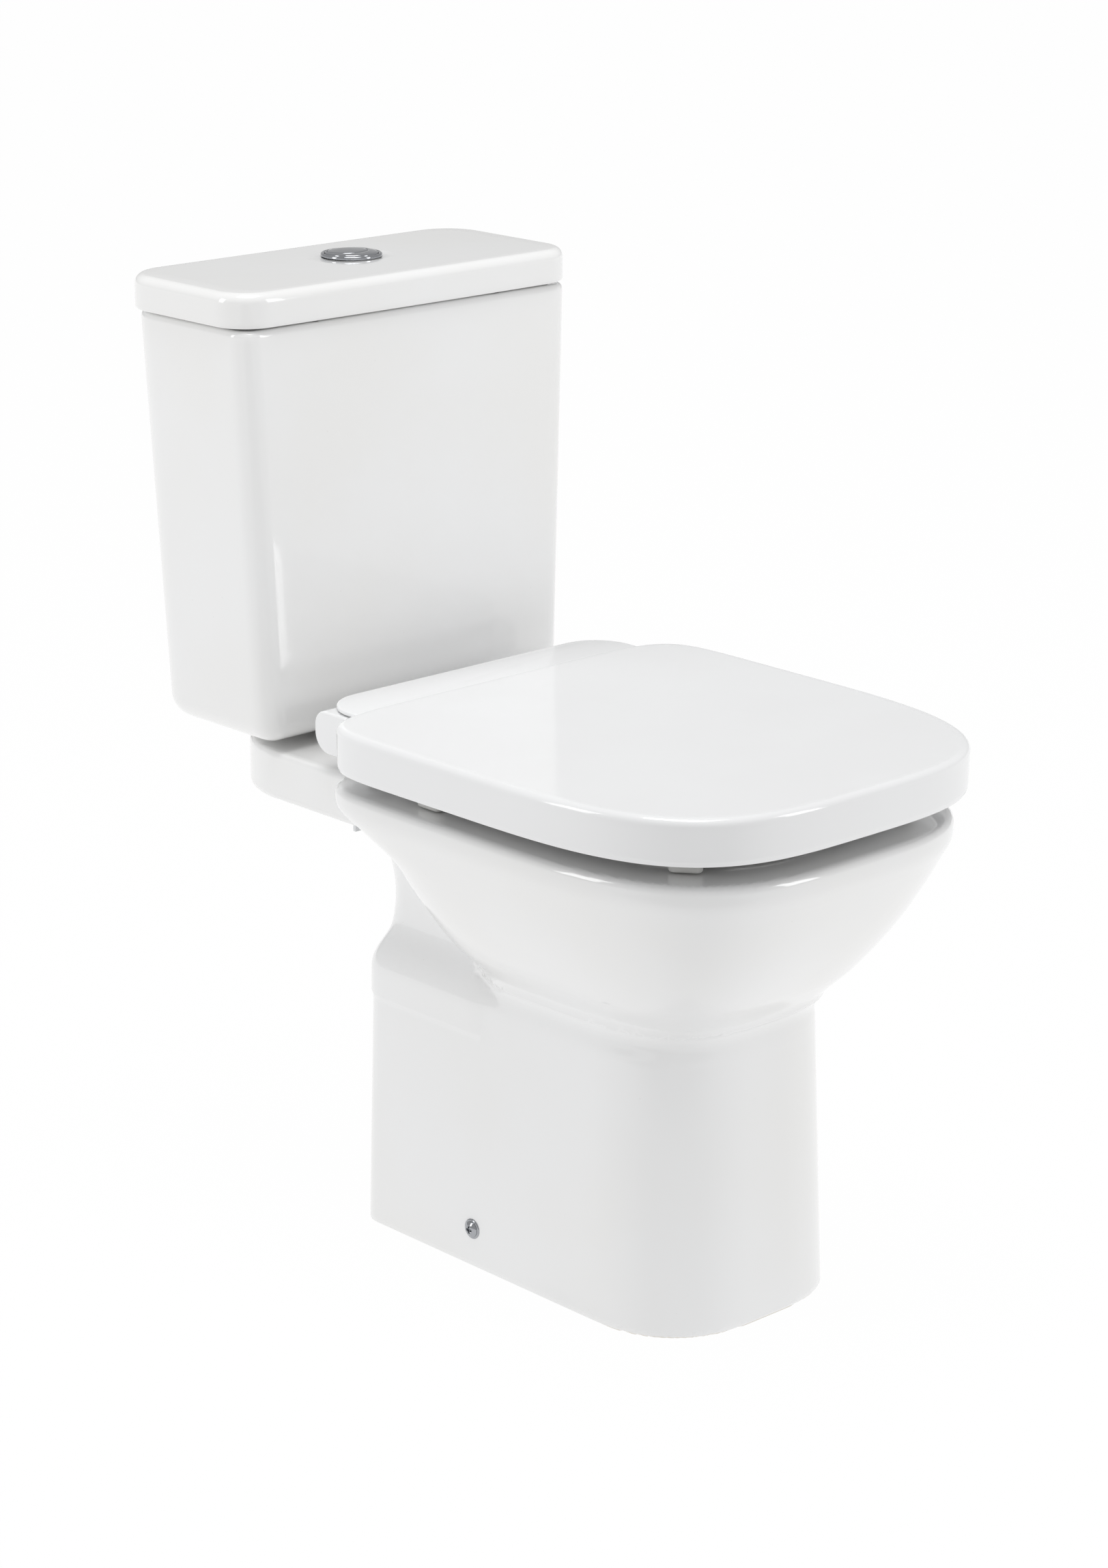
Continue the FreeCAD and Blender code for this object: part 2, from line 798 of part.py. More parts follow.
# --------------------------------------------------------------------------- flush valve
tank_floor = tank_foot + " + tank_wall"
tail = cylinder(
    "ValveTail",
    "valve_tail_radius",
    "valve_tail_length",
    ("0", "coupling_y", tank_floor + " - valve_tail_length"),
)
flange = cylinder(
    "ValveFlange", "valve_flange_radius", "valve_flange_height", ("0", "coupling_y", tank_floor)
)
cage = cylinder(
    "ValveCage",
    "valve_cage_radius",
    "valve_cage_height",
    ("0", "coupling_y", tank_floor + " + valve_flange_height"),
)
water_way = cylinder(
    "ValveWaterway",
    "valve_seal_radius - 3",
    "valve_tail_length + valve_flange_height",
    ("0", "coupling_y", tank_floor + " - valve_tail_length"),
)
cage_inside = cylinder(
    "ValveCageInside",
    "valve_cage_radius - valve_cage_wall",
    "valve_cage_height - valve_cage_wall",
    ("0", "coupling_y", tank_floor + " + valve_flange_height"),
)
cage_top_hole = cylinder(
    "ValveCageTopHole",
    "spool_radius + 1",
    "valve_cage_wall * 2",
    ("0", "coupling_y", tank_floor + " + valve_flange_height + valve_cage_height - valve_cage_wall * 1.5"),
)
windows = []
for level, share in (("Low", "8"), ("High", "valve_window_height + 26")):
    for turn_name, wide, deep in (
        ("Across", "valve_cage_radius * 3", "valve_window_width"),
        ("Along", "valve_window_width", "valve_cage_radius * 3"),
    ):
        windows.append(
            block(
                "ValveWindow" + level + turn_name,
                (wide, deep, "valve_window_height"),
                ("0", "coupling_y", tank_floor + " + valve_flange_height + " + share),
            )
        )
valve_solid = fuse("ValveSolid", [tail, flange, cage])
valve_hollow = fuse("ValveHollow", [water_way, cage_inside, cage_top_hole] + windows)
node("flush_valve_body", cut("Valve", valve_solid, valve_hollow))

seat_z = tank_floor + " + valve_flange_height"
spool_tube = cylinder(
    "SpoolTube", "spool_radius", "spool_height", ("0", "coupling_y", seat_z + " + valve_seal_height")
)
spool_disc = cylinder(
    "SpoolDisc", "valve_seal_radius", "valve_seal_height", ("0", "coupling_y", seat_z + " + valve_seal_height")
)
spool_bore = cylinder(
    "SpoolBore",
    "spool_radius - spool_wall",
    "spool_height - spool_wall",
    ("0", "coupling_y", seat_z + " + valve_seal_height"),
)
node("flush_spool", cut("Spool", fuse("SpoolSolid", [spool_tube, spool_disc]), spool_bore))

seal = cylinder("SealBlank", "valve_seal_radius", "valve_seal_height", ("0", "coupling_y", seat_z))
seal_bore = cylinder("SealBore", "spool_radius", "valve_seal_height", ("0", "coupling_y", seat_z))
node("flush_seal", cut("Seal", seal, seal_bore))

# --------------------------------------------------------------------------- cistern bolts
ledge_low = "pan_top - ledge_thickness"
bolts = []
seals = []
plates = []
nuts = []
for side_name, side in (("Left", "-"), ("Right", "")):
    bolt_x = side + "cistern_bolt_spacing / 2"
    head_z = tank_floor + " + cistern_seal_height"
    bolt_low = ledge_low + " - washer_height - wing_nut_height - bolt_end_length"
    shank = cylinder(
        "CisternShank" + side_name,
        "cistern_bolt_radius",
        head_z + " - (" + bolt_low + ")",
        (bolt_x, "coupling_y", bolt_low),
    )
    head = cylinder(
        "CisternHead" + side_name,
        "cistern_seal_radius - 5",
        "cistern_head_height",
        (bolt_x, "coupling_y", head_z),
    )
    bolts.append(fuse("CisternBolt" + side_name, [shank, head]))
    rubber = cylinder(
        "CisternRubber" + side_name,
        "cistern_seal_radius",
        "cistern_seal_height",
        (bolt_x, "coupling_y", tank_floor),
    )
    rubber_bore = cylinder(
        "CisternRubberBore" + side_name,
        "cistern_bolt_radius",
        "cistern_seal_height",
        (bolt_x, "coupling_y", tank_floor),
    )
    seals.append(cut("CisternSeal" + side_name, rubber, rubber_bore))
    plate_z = ledge_low + " - washer_height"
    plate = cylinder(
        "CisternPlate" + side_name,
        "cistern_seal_radius",
        "washer_height",
        (bolt_x, "coupling_y", plate_z),
    )
    plate_bore = cylinder(
        "CisternPlateBore" + side_name,
        "cistern_bolt_radius",
        "washer_height",
        (bolt_x, "coupling_y", plate_z),
    )
    plates.append(cut("CisternWasher" + side_name, plate, plate_bore))
    nut_z = ledge_low + " - washer_height - wing_nut_height"
    nuts.append(wing_nut("Cistern" + side_name, bolt_x, "coupling_y", nut_z, "cistern_bolt_radius"))
node("cistern_bolts", several("CisternBolts", bolts))
node("cistern_bolt_seals", several("CisternSeals", seals))
node("cistern_bolt_washers", several("CisternWashers", plates))
node("cistern_wing_nuts", several("CisternNuts", nuts))

# --------------------------------------------------------------------------- fill valve
fill_place = ("fill_x", "fill_y")
fill_tail_top = tank_foot + " - fill_nut_height"
shank = cylinder(
    "FillShank", "fill_shank_radius", "tank_wall + fill_nut_height", fill_place + (fill_tail_top,)
)
fill_tail = cylinder(
    "FillTail", "fill_tail_radius", fill_tail_top + " - fill_tail_end", fill_place + ("fill_tail_end",)
)
fill_flange = cylinder(
    "FillFlange",
    "fill_flange_radius",
    "fill_flange_height",
    fill_place + (tank_floor + " + fill_flange_height",),
)
column = cylinder(
    "FillColumn",
    "fill_column_radius",
    "fill_column_height",
    fill_place + (tank_floor,),
)
pivot_x = "fill_x - float_pivot_offset"
pivot_z = tank_floor + " + fill_column_height + fill_head_height / 2"
head = cylinder(
    "FillHead",
    "fill_head_radius",
    "fill_head_height",
    fill_place + (tank_floor + " + fill_column_height",),
)
lug_depth = "float_arm_width + 2 * float_side_gap + 2 * float_lug_thickness"
lugs = block(
    "FillLugs",
    ("2 * float_pivot_offset - 24", lug_depth, "float_arm_height + 6"),
    ("fill_x - float_pivot_offset + 6", "fill_y", pivot_z + " - (float_arm_height + 6) / 2"),
)
slot = block(
    "FillSlot",
    ("2 * float_pivot_offset - 12", "float_arm_width + 2 * float_side_gap", "fill_head_height"),
    ("fill_x - float_pivot_offset - 6", "fill_y", pivot_z + " - fill_head_height / 2"),
)
float_pin_hole = cylinder(
    "FillPinHole",
    "float_pin_radius",
    "3 * float_arm_width",
    (pivot_x, "fill_y - 1.5 * float_arm_width", pivot_z),
    ALONG_Y,
)
fill_bore = cylinder(
    "FillBore",
    "fill_shank_bore",
    tank_floor + " - fill_tail_end + fill_column_height",
    fill_place + ("fill_tail_end",),
)
fill_solid = fuse("FillSolid", [shank, fill_tail, fill_flange, column, head, lugs])
fill_cutters = fuse("FillCutters", [slot, float_pin_hole, fill_bore])
node("fill_valve_body", cut("FillValve", fill_solid, fill_cutters))

fill_seal = cylinder("FillSealBlank", "fill_flange_radius", "fill_flange_height", fill_place + (tank_floor,))
fill_seal_bore = cylinder(
    "FillSealBore", "fill_column_radius", "fill_flange_height", fill_place + (tank_floor,)
)
node("fill_valve_seal", cut("FillSeal", fill_seal, fill_seal_bore))

fill_nut = cylinder(
    "FillNutBlank",
    "fill_nut_radius",
    "fill_nut_height",
    fill_place + (fill_tail_top,),
)
fill_nut_bore = cylinder(
    "FillNutBore",
    "fill_shank_radius",
    "fill_nut_height",
    fill_place + (fill_tail_top,),
)
node("fill_valve_back_nut", cut("FillNut", fill_nut, fill_nut_bore))

float_pin = cylinder(
    "FloatPinRod", "float_pin_radius", lug_depth, (pivot_x, "fill_y - (" + lug_depth + ") / 2", pivot_z), ALONG_Y
)
node("float_pin", several("FloatPin", [float_pin]))

arm = block(
    "FloatArmBar",
    ("float_arm_length", "float_arm_width", "float_arm_height"),
    (pivot_x + " - float_arm_length / 2", "fill_y", pivot_z + " - float_arm_height / 2"),
)
arm_eye = cylinder(
    "FloatArmEye",
    "float_arm_height / 2",
    "float_arm_width",
    (pivot_x, "fill_y - float_arm_width / 2", pivot_z),
    ALONG_Y,
)
float_cup = cylinder(
    "FloatCup",
    "float_radius",
    "float_height",
    (pivot_x + " - float_arm_length", "fill_y", pivot_z + " - float_arm_height / 2 - float_height"),
)
arm_hole = cylinder(
    "FloatArmHole",
    "float_pin_radius + float_pin_clearance",
    "2 * float_arm_width",
    (pivot_x, "fill_y - float_arm_width", pivot_z),
    ALONG_Y,
)
node("float_arm", cut("FloatArm", fuse("FloatArmSolid", [arm, arm_eye, float_cup]), arm_hole))

# --------------------------------------------------------------------------- dual flush actuator
actuator_z = tank_floor + " + valve_flange_height + valve_cage_height"
actuator_block = block(
    "ActuatorBlock",
    ("actuator_width", "actuator_depth", "actuator_height"),
    ("0", "actuator_y", actuator_z),
)
actuator_bore = cylinder(
    "ActuatorBore", "spool_radius + 1", "actuator_height", ("0", "coupling_y", actuator_z)
)
node("flush_actuator", cut("Actuator", actuator_block, actuator_bore))

# --------------------------------------------------------------------------- dual flush button
sleeve_radius = "button_radius - 1.5"
lid_top = "overall_height"
bezel_rim = cylinder("BezelRim", "button_radius", "bezel_rim_height", ("button_x", "button_y", lid_top))
bezel_sleeve = cylinder(
    "BezelSleeve", sleeve_radius, "bezel_length", ("button_x", "button_y", lid_top + " - bezel_length")
)
bezel_bore = cylinder(
    "BezelBore",
    sleeve_radius + " - bezel_wall",
    "bezel_length + bezel_rim_height",
    ("button_x", "button_y", lid_top + " - bezel_length"),
)
node("button_bezel", cut("Bezel", fuse("BezelSolid", [bezel_rim, bezel_sleeve]), bezel_bore))

bezel_nut_z = "overall_height - lid_thickness + 3 - bezel_nut_height"
bezel_nut = cylinder(
    "BezelNutBlank", sleeve_radius + " + bezel_nut_wall", "bezel_nut_height", ("button_x", "button_y", bezel_nut_z)
)
bezel_nut_bore = cylinder("BezelNutBore", sleeve_radius, "bezel_nut_height", ("button_x", "button_y", bezel_nut_z))
node("bezel_nut", cut("BezelNut", bezel_nut, bezel_nut_bore))

button_top = "overall_height + bezel_rim_height + button_rise"
button_low = button_top + " - button_depth"
half_x = "button_x - half_button_offset * 0.7071"
half_y = "button_y + half_button_offset * 0.7071"
rod_low = actuator_z + " + actuator_height + push_rod_gap"


def push_rod(name, x, y):
    """The rod below a button, standing clear above the flush valve's actuator."""
    return cylinder(name, "push_rod_radius", button_low + " - (" + rod_low + ")", (x, y, rod_low))


full_disc = cylinder(
    "FullDisc", sleeve_radius + " - bezel_wall - button_gap", "button_depth", ("button_x", "button_y", button_low)
)
full_hole = cylinder(
    "FullHole", "half_button_radius + button_gap", "button_depth", (half_x, half_y, button_low)
)
node("full_flush_button", cut("FullCrescent", full_disc, full_hole))
node("full_flush_rod", push_rod("FullRod", "button_x", "button_y - full_rod_offset"))

half_disc = cylinder("HalfDisc", "half_button_radius", "button_depth", (half_x, half_y, button_low))
node("half_flush_button", half_disc)
node("half_flush_rod", push_rod("HalfRod", half_x, half_y))


# --------------------------------------------------------------------------- seat ring and cover
def seat_outline(inset, z):
    """The outline that the cover and, further in, the seat ring follow."""
    return egg(
        size.cover_half_width - inset,
        size.cover_front - inset,
        size.cover_rear - inset,
        size.rim_widest,
        FRONT_POWER,
        8.0,
        z,
    )


def along_x(radius, x_from, x_to):
    """A round bar on the hinge axis."""
    start = Vector(x_from, size.hinge_y, size.hinge_height)
    return Part.makeCylinder(radius, x_to - x_from, start, Vector(1, 0, 0))


def post_inner_x():
    """Distance from the middle to the near side of a hinge post."""
    return size.hinge_post_x - size.hinge_post_width / 2


def post_outer_x():
    """Distance from the middle to the far side of a hinge post."""
    return size.hinge_post_x + size.hinge_post_width / 2


def pin_hole():
    """Radius of the running hole for a hinge pin."""
    return size.hinge_pin_radius + size.hinge_pin_clearance


def make_cover():
    """The seat cover: a shallow shell with a deep skirt and the middle length of the hinge roll."""
    skirt_low = size.cover_top - size.cover_skirt
    shell = prism(seat_outline(0, skirt_low), size.cover_skirt)
    shell = round_edges(shell, size.cover_edge_radius, size.cover_top)
    wall = size.cover_wall
    shell = shell.cut(prism(seat_outline(wall, skirt_low - 1), size.cover_skirt + 1 - wall))
    arm_top = size.ring_bottom + size.ring_thickness + size.ring_clearance
    for side in (-1, 1):
        near = side * (post_outer_x() - 1)
        far = side * (size.hinge_roll_end + 2)
        gate = box_between(
            (min(near, far), size.cover_rear - 3 * wall, skirt_low - 1),
            (max(near, far), size.cover_rear + 1, arm_top),
        )
        shell = shell.cut(gate)
    half_roll = post_inner_x() - size.hinge_gap
    roll_top = size.hinge_height + size.hinge_roll_radius
    bridge = box_between(
        (-half_roll, size.cover_rear - 2 * wall, roll_top - 2 * wall), (half_roll, size.hinge_y, roll_top)
    )
    cover = shell.multiFuse([along_x(size.hinge_roll_radius, -half_roll, half_roll), bridge])
    hole = along_x(pin_hole(), -half_roll - 1, half_roll + 1)
    return cover.cut(hole)


def make_ring():
    """The seat ring with its two hinge lugs."""
    inset = size.cover_wall + size.ring_clearance
    ring_top = size.ring_bottom + size.ring_thickness
    body = prism(seat_outline(inset, size.ring_bottom), size.ring_thickness)
    opening = prism(
        egg(
            size.ring_hole_half_width,
            size.ring_hole_front,
            size.ring_hole_rear,
            size.rim_widest,
            2.5,
            2.5,
            size.ring_bottom - 1,
        ),
        size.ring_thickness + 2,
    )
    body = body.cut(opening)
    body = round_edges(body, size.ring_edge_radius, ring_top)
    body = round_edges(body, size.ring_edge_radius, size.ring_bottom)
    parts = []
    holes = []
    for side in (-1, 1):
        near = side * (post_outer_x() + size.hinge_gap)
        far = side * size.hinge_roll_end
        low_x = min(near, far)
        high_x = max(near, far)
        parts.append(along_x(size.hinge_roll_radius, low_x, high_x))
        arm_low = size.ring_bottom + size.ring_edge_radius + 1
        parts.append(
            box_between((low_x, size.cover_rear - inset - 12, arm_low), (high_x, size.hinge_y, ring_top))
        )
        holes.append(along_x(pin_hole(), low_x - 1, high_x + 1))
    return body.multiFuse(parts).cut(holes)


def make_post(side):
    """A fixed hinge post: a barrel on the hinge axis, a stem and a foot on the pan."""
    low_x = side * size.hinge_post_x - size.hinge_post_width / 2
    high_x = low_x + size.hinge_post_width
    barrel = along_x(size.hinge_roll_radius - 0.5, low_x, high_x)
    middle = Vector(side * size.hinge_post_x, size.hinge_y, size.pan_top)
    foot = Part.makeCylinder(size.hinge_foot_radius, size.hinge_foot_height, middle)
    stem_depth = size.hinge_foot_radius
    stem = box_between(
        (low_x + 2, size.hinge_y - stem_depth * 0.8, size.pan_top + size.hinge_foot_height - 1),
        (high_x - 2, size.hinge_y + stem_depth * 0.8, size.hinge_height),
    )
    pin_bore = along_x(size.hinge_pin_radius, low_x - 1, high_x + 1)
    bolt_bore = Part.makeCylinder(size.hinge_bolt_radius, size.hinge_foot_height + 12, middle)
    return barrel.multiFuse([foot, stem]).cut([pin_bore, bolt_bore])


node("seat_cover", feature("SeatCover", make_cover()))
node("seat_ring", feature("SeatRing", make_ring()))
node("hinge_post_left", feature("HingePostLeft", make_post(-1)))
node("hinge_post_right", feature("HingePostRight", make_post(1)))


def buffer_block(x, y, turn):
    """An oblong rubber buffer under the seat ring."""
    height = size.ring_bottom - size.pan_top - size.buffer_gap
    length = size.ring_buffer_length
    width = size.ring_buffer_width
    outline = rounded(width / 2, -length / 2, length / 2, width / 2 - 0.5, width / 2 - 0.5, 0)
    solid = prism(outline, height)
    solid.Placement = Placement(
        Vector(x, y, size.pan_top + size.buffer_gap), Rotation(Vector(0, 0, 1), turn)
    )
    return solid


def make_ring_buffers():
    """Four buffers under the ring: two beside the bowl and two near its front corners."""
    reach = size.rim_half_width - 26
    front = -size.rim_front + 66
    corner = size.rim_half_width - 62
    places = [(-reach, -20, 0), (reach, -20, 0), (-corner, front, 38), (corner, front, -38)]
    return Part.makeCompound([buffer_block(*spot) for spot in places])


node("ring_buffers", feature("RingBuffers", make_ring_buffers()))

cover_buffer_z = "ring_bottom + ring_thickness + buffer_gap"
cover_buffers = []
for side_name, side in (("Left", "-"), ("Right", "")):
    cover_buffers.append(
        cylinder(
            "CoverBuffer" + side_name,
            "cover_buffer_radius",
            "cover_top - cover_wall - (" + cover_buffer_z + ")",
            (side + "(ring_hole_half_width + 38)", "-rim_widest", cover_buffer_z),
        )
    )
node("cover_buffers", several("CoverBuffers", cover_buffers))

pins = []
hinge_bolts = []
hinge_washers = []
hinge_nuts = []
for side_name, side in (("Left", "-"), ("Right", "")):
    post_x = side + "hinge_post_x"
    pins.append(
        cylinder(
            "HingePin" + side_name,
            "hinge_pin_radius",
            "hinge_pin_length",
            (post_x + " - hinge_pin_length / 2", "hinge_y", "hinge_height"),
            ALONG_X,
        )
    )
    bolt_low = ledge_low + " - washer_height - wing_nut_height - bolt_end_length"
    hinge_bolts.append(
        cylinder(
            "HingeBolt" + side_name,
            "hinge_bolt_radius",
            "pan_top + hinge_foot_height + 12 - (" + bolt_low + ")",
            (post_x, "hinge_y", bolt_low),
        )
    )
    washer_z = ledge_low + " - washer_height"
    washer = cylinder(
        "HingeWasherBlank" + side_name, "hinge_washer_radius", "washer_height", (post_x, "hinge_y", washer_z)
    )
    washer_bore = cylinder(
        "HingeWasherBore" + side_name, "hinge_bolt_radius", "washer_height", (post_x, "hinge_y", washer_z)
    )
    hinge_washers.append(cut("HingeWasher" + side_name, washer, washer_bore))
    nut_z = ledge_low + " - washer_height - wing_nut_height"
    hinge_nuts.append(wing_nut("Hinge" + side_name, post_x, "hinge_y", nut_z, "hinge_bolt_radius"))
node("hinge_pins", several("HingePins", pins))
node("hinge_bolts", several("HingeBolts", hinge_bolts))
node("hinge_washers", several("HingeWashers", hinge_washers))
node("hinge_wing_nuts", several("HingeNuts", hinge_nuts))

# --------------------------------------------------------------------------- floor fixing
bracket_face = "foot_half_width - china_wall - foot_flare / 2"
screws = []
washers = []
brackets = []
anchor_bolts = []
for side_name, sign in (("Left", -1), ("Right", 1)):
    side = "-" if sign < 0 else ""
    turn = Rotation(Vector(0, 1, 0), 90 * sign)
    wall_x = side + "(foot_half_width - 0.5)"
    face_x = side + "(foot_half_width - 0.5 + floor_washer_height)"
    spot = ("floor_screw_y", "floor_screw_z")
    washer = cylinder(
        "FloorWasherBlank" + side_name, "floor_washer_radius", "floor_washer_height", (wall_x,) + spot, turn
    )
    washer_bore = cylinder(
        "FloorWasherBore" + side_name, "floor_screw_radius", "floor_washer_height", (wall_x,) + spot, turn
    )
    washers.append(cut("FloorWasher" + side_name, washer, washer_bore))
    head = cylinder(
        "FloorHead" + side_name, "floor_head_radius", "floor_head_height", (face_x,) + spot, turn
    )
    tip_x = side + "(" + bracket_face + " - bracket_thickness - bracket_block + 2)"
    reach = "foot_half_width - 0.5 + floor_washer_height - (" + bracket_face + ") + bracket_thickness"
    screw_body = cylinder(
        "FloorShank" + side_name,
        "floor_screw_radius",
        reach + " + bracket_block - 2",
        (tip_x,) + spot,
        turn,
    )
    slot_x = side + "(foot_half_width - 0.5 + floor_washer_height + floor_head_height - 0.6)"
    slots = [
        block(
            "FloorSlot" + name + side_name,
            ("2.4", deep, high),
            (slot_x, "floor_screw_y", "floor_screw_z - (" + high + ") / 2"),
        )
        for name, deep, high in (
            ("Level", "1.3 * floor_head_radius", "0.26 * floor_head_radius"),
            ("Upright", "0.26 * floor_head_radius", "1.3 * floor_head_radius"),
        )
    ]
    screw_solid = fuse("FloorScrewSolid" + side_name, [head, screw_body])
    cross = fuse("FloorCross" + side_name, slots)
    screws.append(cut("FloorScrew" + side_name, screw_solid, cross))
    plate = block(
        "BracketPlate" + side_name,
        ("bracket_thickness", "bracket_width", "bracket_height"),
        (side + "(" + bracket_face + " - bracket_thickness / 2)", "floor_screw_y", "0"),
    )
    foot = block(
        "BracketFoot" + side_name,
        ("bracket_foot", "bracket_width", "bracket_thickness"),
        (side + "(" + bracket_face + " - bracket_foot / 2)", "floor_screw_y", "0"),
    )
    boss = block(
        "BracketBoss" + side_name,
        ("bracket_block", "bracket_width * 0.6", "bracket_width * 0.6"),
        (
            side + "(" + bracket_face + " - bracket_thickness - bracket_block / 2)",
            "floor_screw_y",
            "floor_screw_z - bracket_width * 0.3",
        ),
    )
    anchor_x = side + "(" + bracket_face + " - bracket_foot * 0.65)"
    anchor_hole = cylinder(
        "BracketHole" + side_name,
        "bracket_bolt_radius",
        "bracket_thickness",
        (anchor_x, "floor_screw_y", "0"),
    )
    tapped = cylinder(
        "BracketTapping" + side_name,
        "floor_screw_radius",
        reach + " + bracket_block + 2",
        (side + "(" + bracket_face + " - bracket_thickness - bracket_block - 2)",) + spot,
        turn,
    )
    bracket_solid = fuse("BracketSolid" + side_name, [plate, foot, boss])
    drill = fuse("BracketDrill" + side_name, [anchor_hole, tapped])
    brackets.append(cut("Bracket" + side_name, bracket_solid, drill))
    anchor_shank = cylinder(
        "AnchorShank" + side_name,
        "bracket_bolt_radius",
        "bracket_thickness",
        (anchor_x, "floor_screw_y", "0"),
    )
    anchor_head = doc.addObject("Part::Prism", "AnchorHead" + side_name)
    anchor_head.Polygon = 6
    anchor_head.setExpression("Circumradius", formula("bracket_head_radius"))
    anchor_head.setExpression("Height", formula("bracket_head_height"))
    place(anchor_head, (anchor_x, "floor_screw_y", "bracket_thickness"))
    anchor_bolts.append(fuse("AnchorBolt" + side_name, [anchor_shank, anchor_head]))
node("floor_screws", several("FloorScrews", screws))
node("floor_screw_washers", several("FloorWashers", washers))
node("floor_brackets", several("FloorBrackets", brackets))
node("bracket_bolts", several("BracketBolts", anchor_bolts))


# --------------------------------------------------------------------------- check and write
def check_and_write():
    """Refuse any failed object or broken shape, then write one file for each sub-part."""
    doc.recompute()
    for thing in doc.Objects:
        if "Invalid" in thing.State or "Error" in thing.State:
            raise RuntimeError("%s failed: %s" % (thing.Name, thing.State))
    for thing in NODES:
        shape = thing.Shape
        if shape.isNull() or not shape.isValid() or not shape.Solids:
            raise RuntimeError("%s has no sound solid" % thing.Label)
    os.makedirs("parts", exist_ok=True)
    for thing in NODES:
        thing.Shape.exportStep(os.path.join("parts", thing.Label + ".step"))
        print("%-24s %d solids, %.1f cm3" % (thing.Label, len(thing.Shape.Solids), thing.Shape.Volume / 1000))


check_and_write()
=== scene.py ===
"""Looks of a close coupled toilet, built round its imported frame.

Lengths inside the classes are millimetres, in the frame's own axes: +Z up, the front of the bowl
faces -Y and X = 0 is the plane of symmetry. Meshes are written in metres.
"""

from __future__ import annotations

import json
import logging
import math
from dataclasses import dataclass
from enum import Enum
from typing import Callable, Sequence

import bpy
import numpy as np
from mathutils import Matrix, Vector

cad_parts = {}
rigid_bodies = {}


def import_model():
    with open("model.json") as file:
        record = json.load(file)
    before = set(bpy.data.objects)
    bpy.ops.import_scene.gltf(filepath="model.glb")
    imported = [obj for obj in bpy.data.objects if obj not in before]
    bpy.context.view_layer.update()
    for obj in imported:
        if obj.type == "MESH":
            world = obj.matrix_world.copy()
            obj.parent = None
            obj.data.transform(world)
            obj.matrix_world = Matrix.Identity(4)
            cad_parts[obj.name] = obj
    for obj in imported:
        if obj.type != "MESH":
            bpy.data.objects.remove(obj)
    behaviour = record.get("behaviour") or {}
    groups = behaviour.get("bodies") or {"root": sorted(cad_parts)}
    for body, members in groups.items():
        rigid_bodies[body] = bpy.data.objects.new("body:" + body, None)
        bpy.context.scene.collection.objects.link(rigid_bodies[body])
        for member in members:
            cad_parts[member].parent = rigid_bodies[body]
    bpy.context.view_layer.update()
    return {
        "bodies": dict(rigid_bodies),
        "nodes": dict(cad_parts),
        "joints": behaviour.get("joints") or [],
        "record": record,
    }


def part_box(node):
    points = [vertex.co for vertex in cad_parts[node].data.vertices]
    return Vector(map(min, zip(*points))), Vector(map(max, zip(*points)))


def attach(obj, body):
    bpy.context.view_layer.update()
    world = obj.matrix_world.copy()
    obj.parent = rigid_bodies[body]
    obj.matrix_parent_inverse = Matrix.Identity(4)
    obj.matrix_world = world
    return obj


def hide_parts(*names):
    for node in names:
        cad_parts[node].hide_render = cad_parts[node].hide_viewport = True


LOG = logging.getLogger("toilet")
MM = 0.001

Field = Callable[[np.ndarray, np.ndarray, np.ndarray], np.ndarray]


class Body(Enum):
    """The moving bodies that pieces ride on."""

    CHINA = "china"
    COVER = "cover"
    RING = "ring"
    FULL_BUTTON = "full_button"
    HALF_BUTTON = "half_button"
    FLOAT = "float"


class Slot(Enum):
    """The record's finish slots."""

    CHINA = "china"
    SEAT = "seat_plastic"
    CHROME = "chrome"
    STAINLESS = "stainless"
    ZINC = "zinc_steel"
    BRASS = "brass"
    RUBBER = "rubber"
    BUFFER = "buffer_rubber"
    VALVE = "valve_plastic"
    FLOAT = "float_plastic"


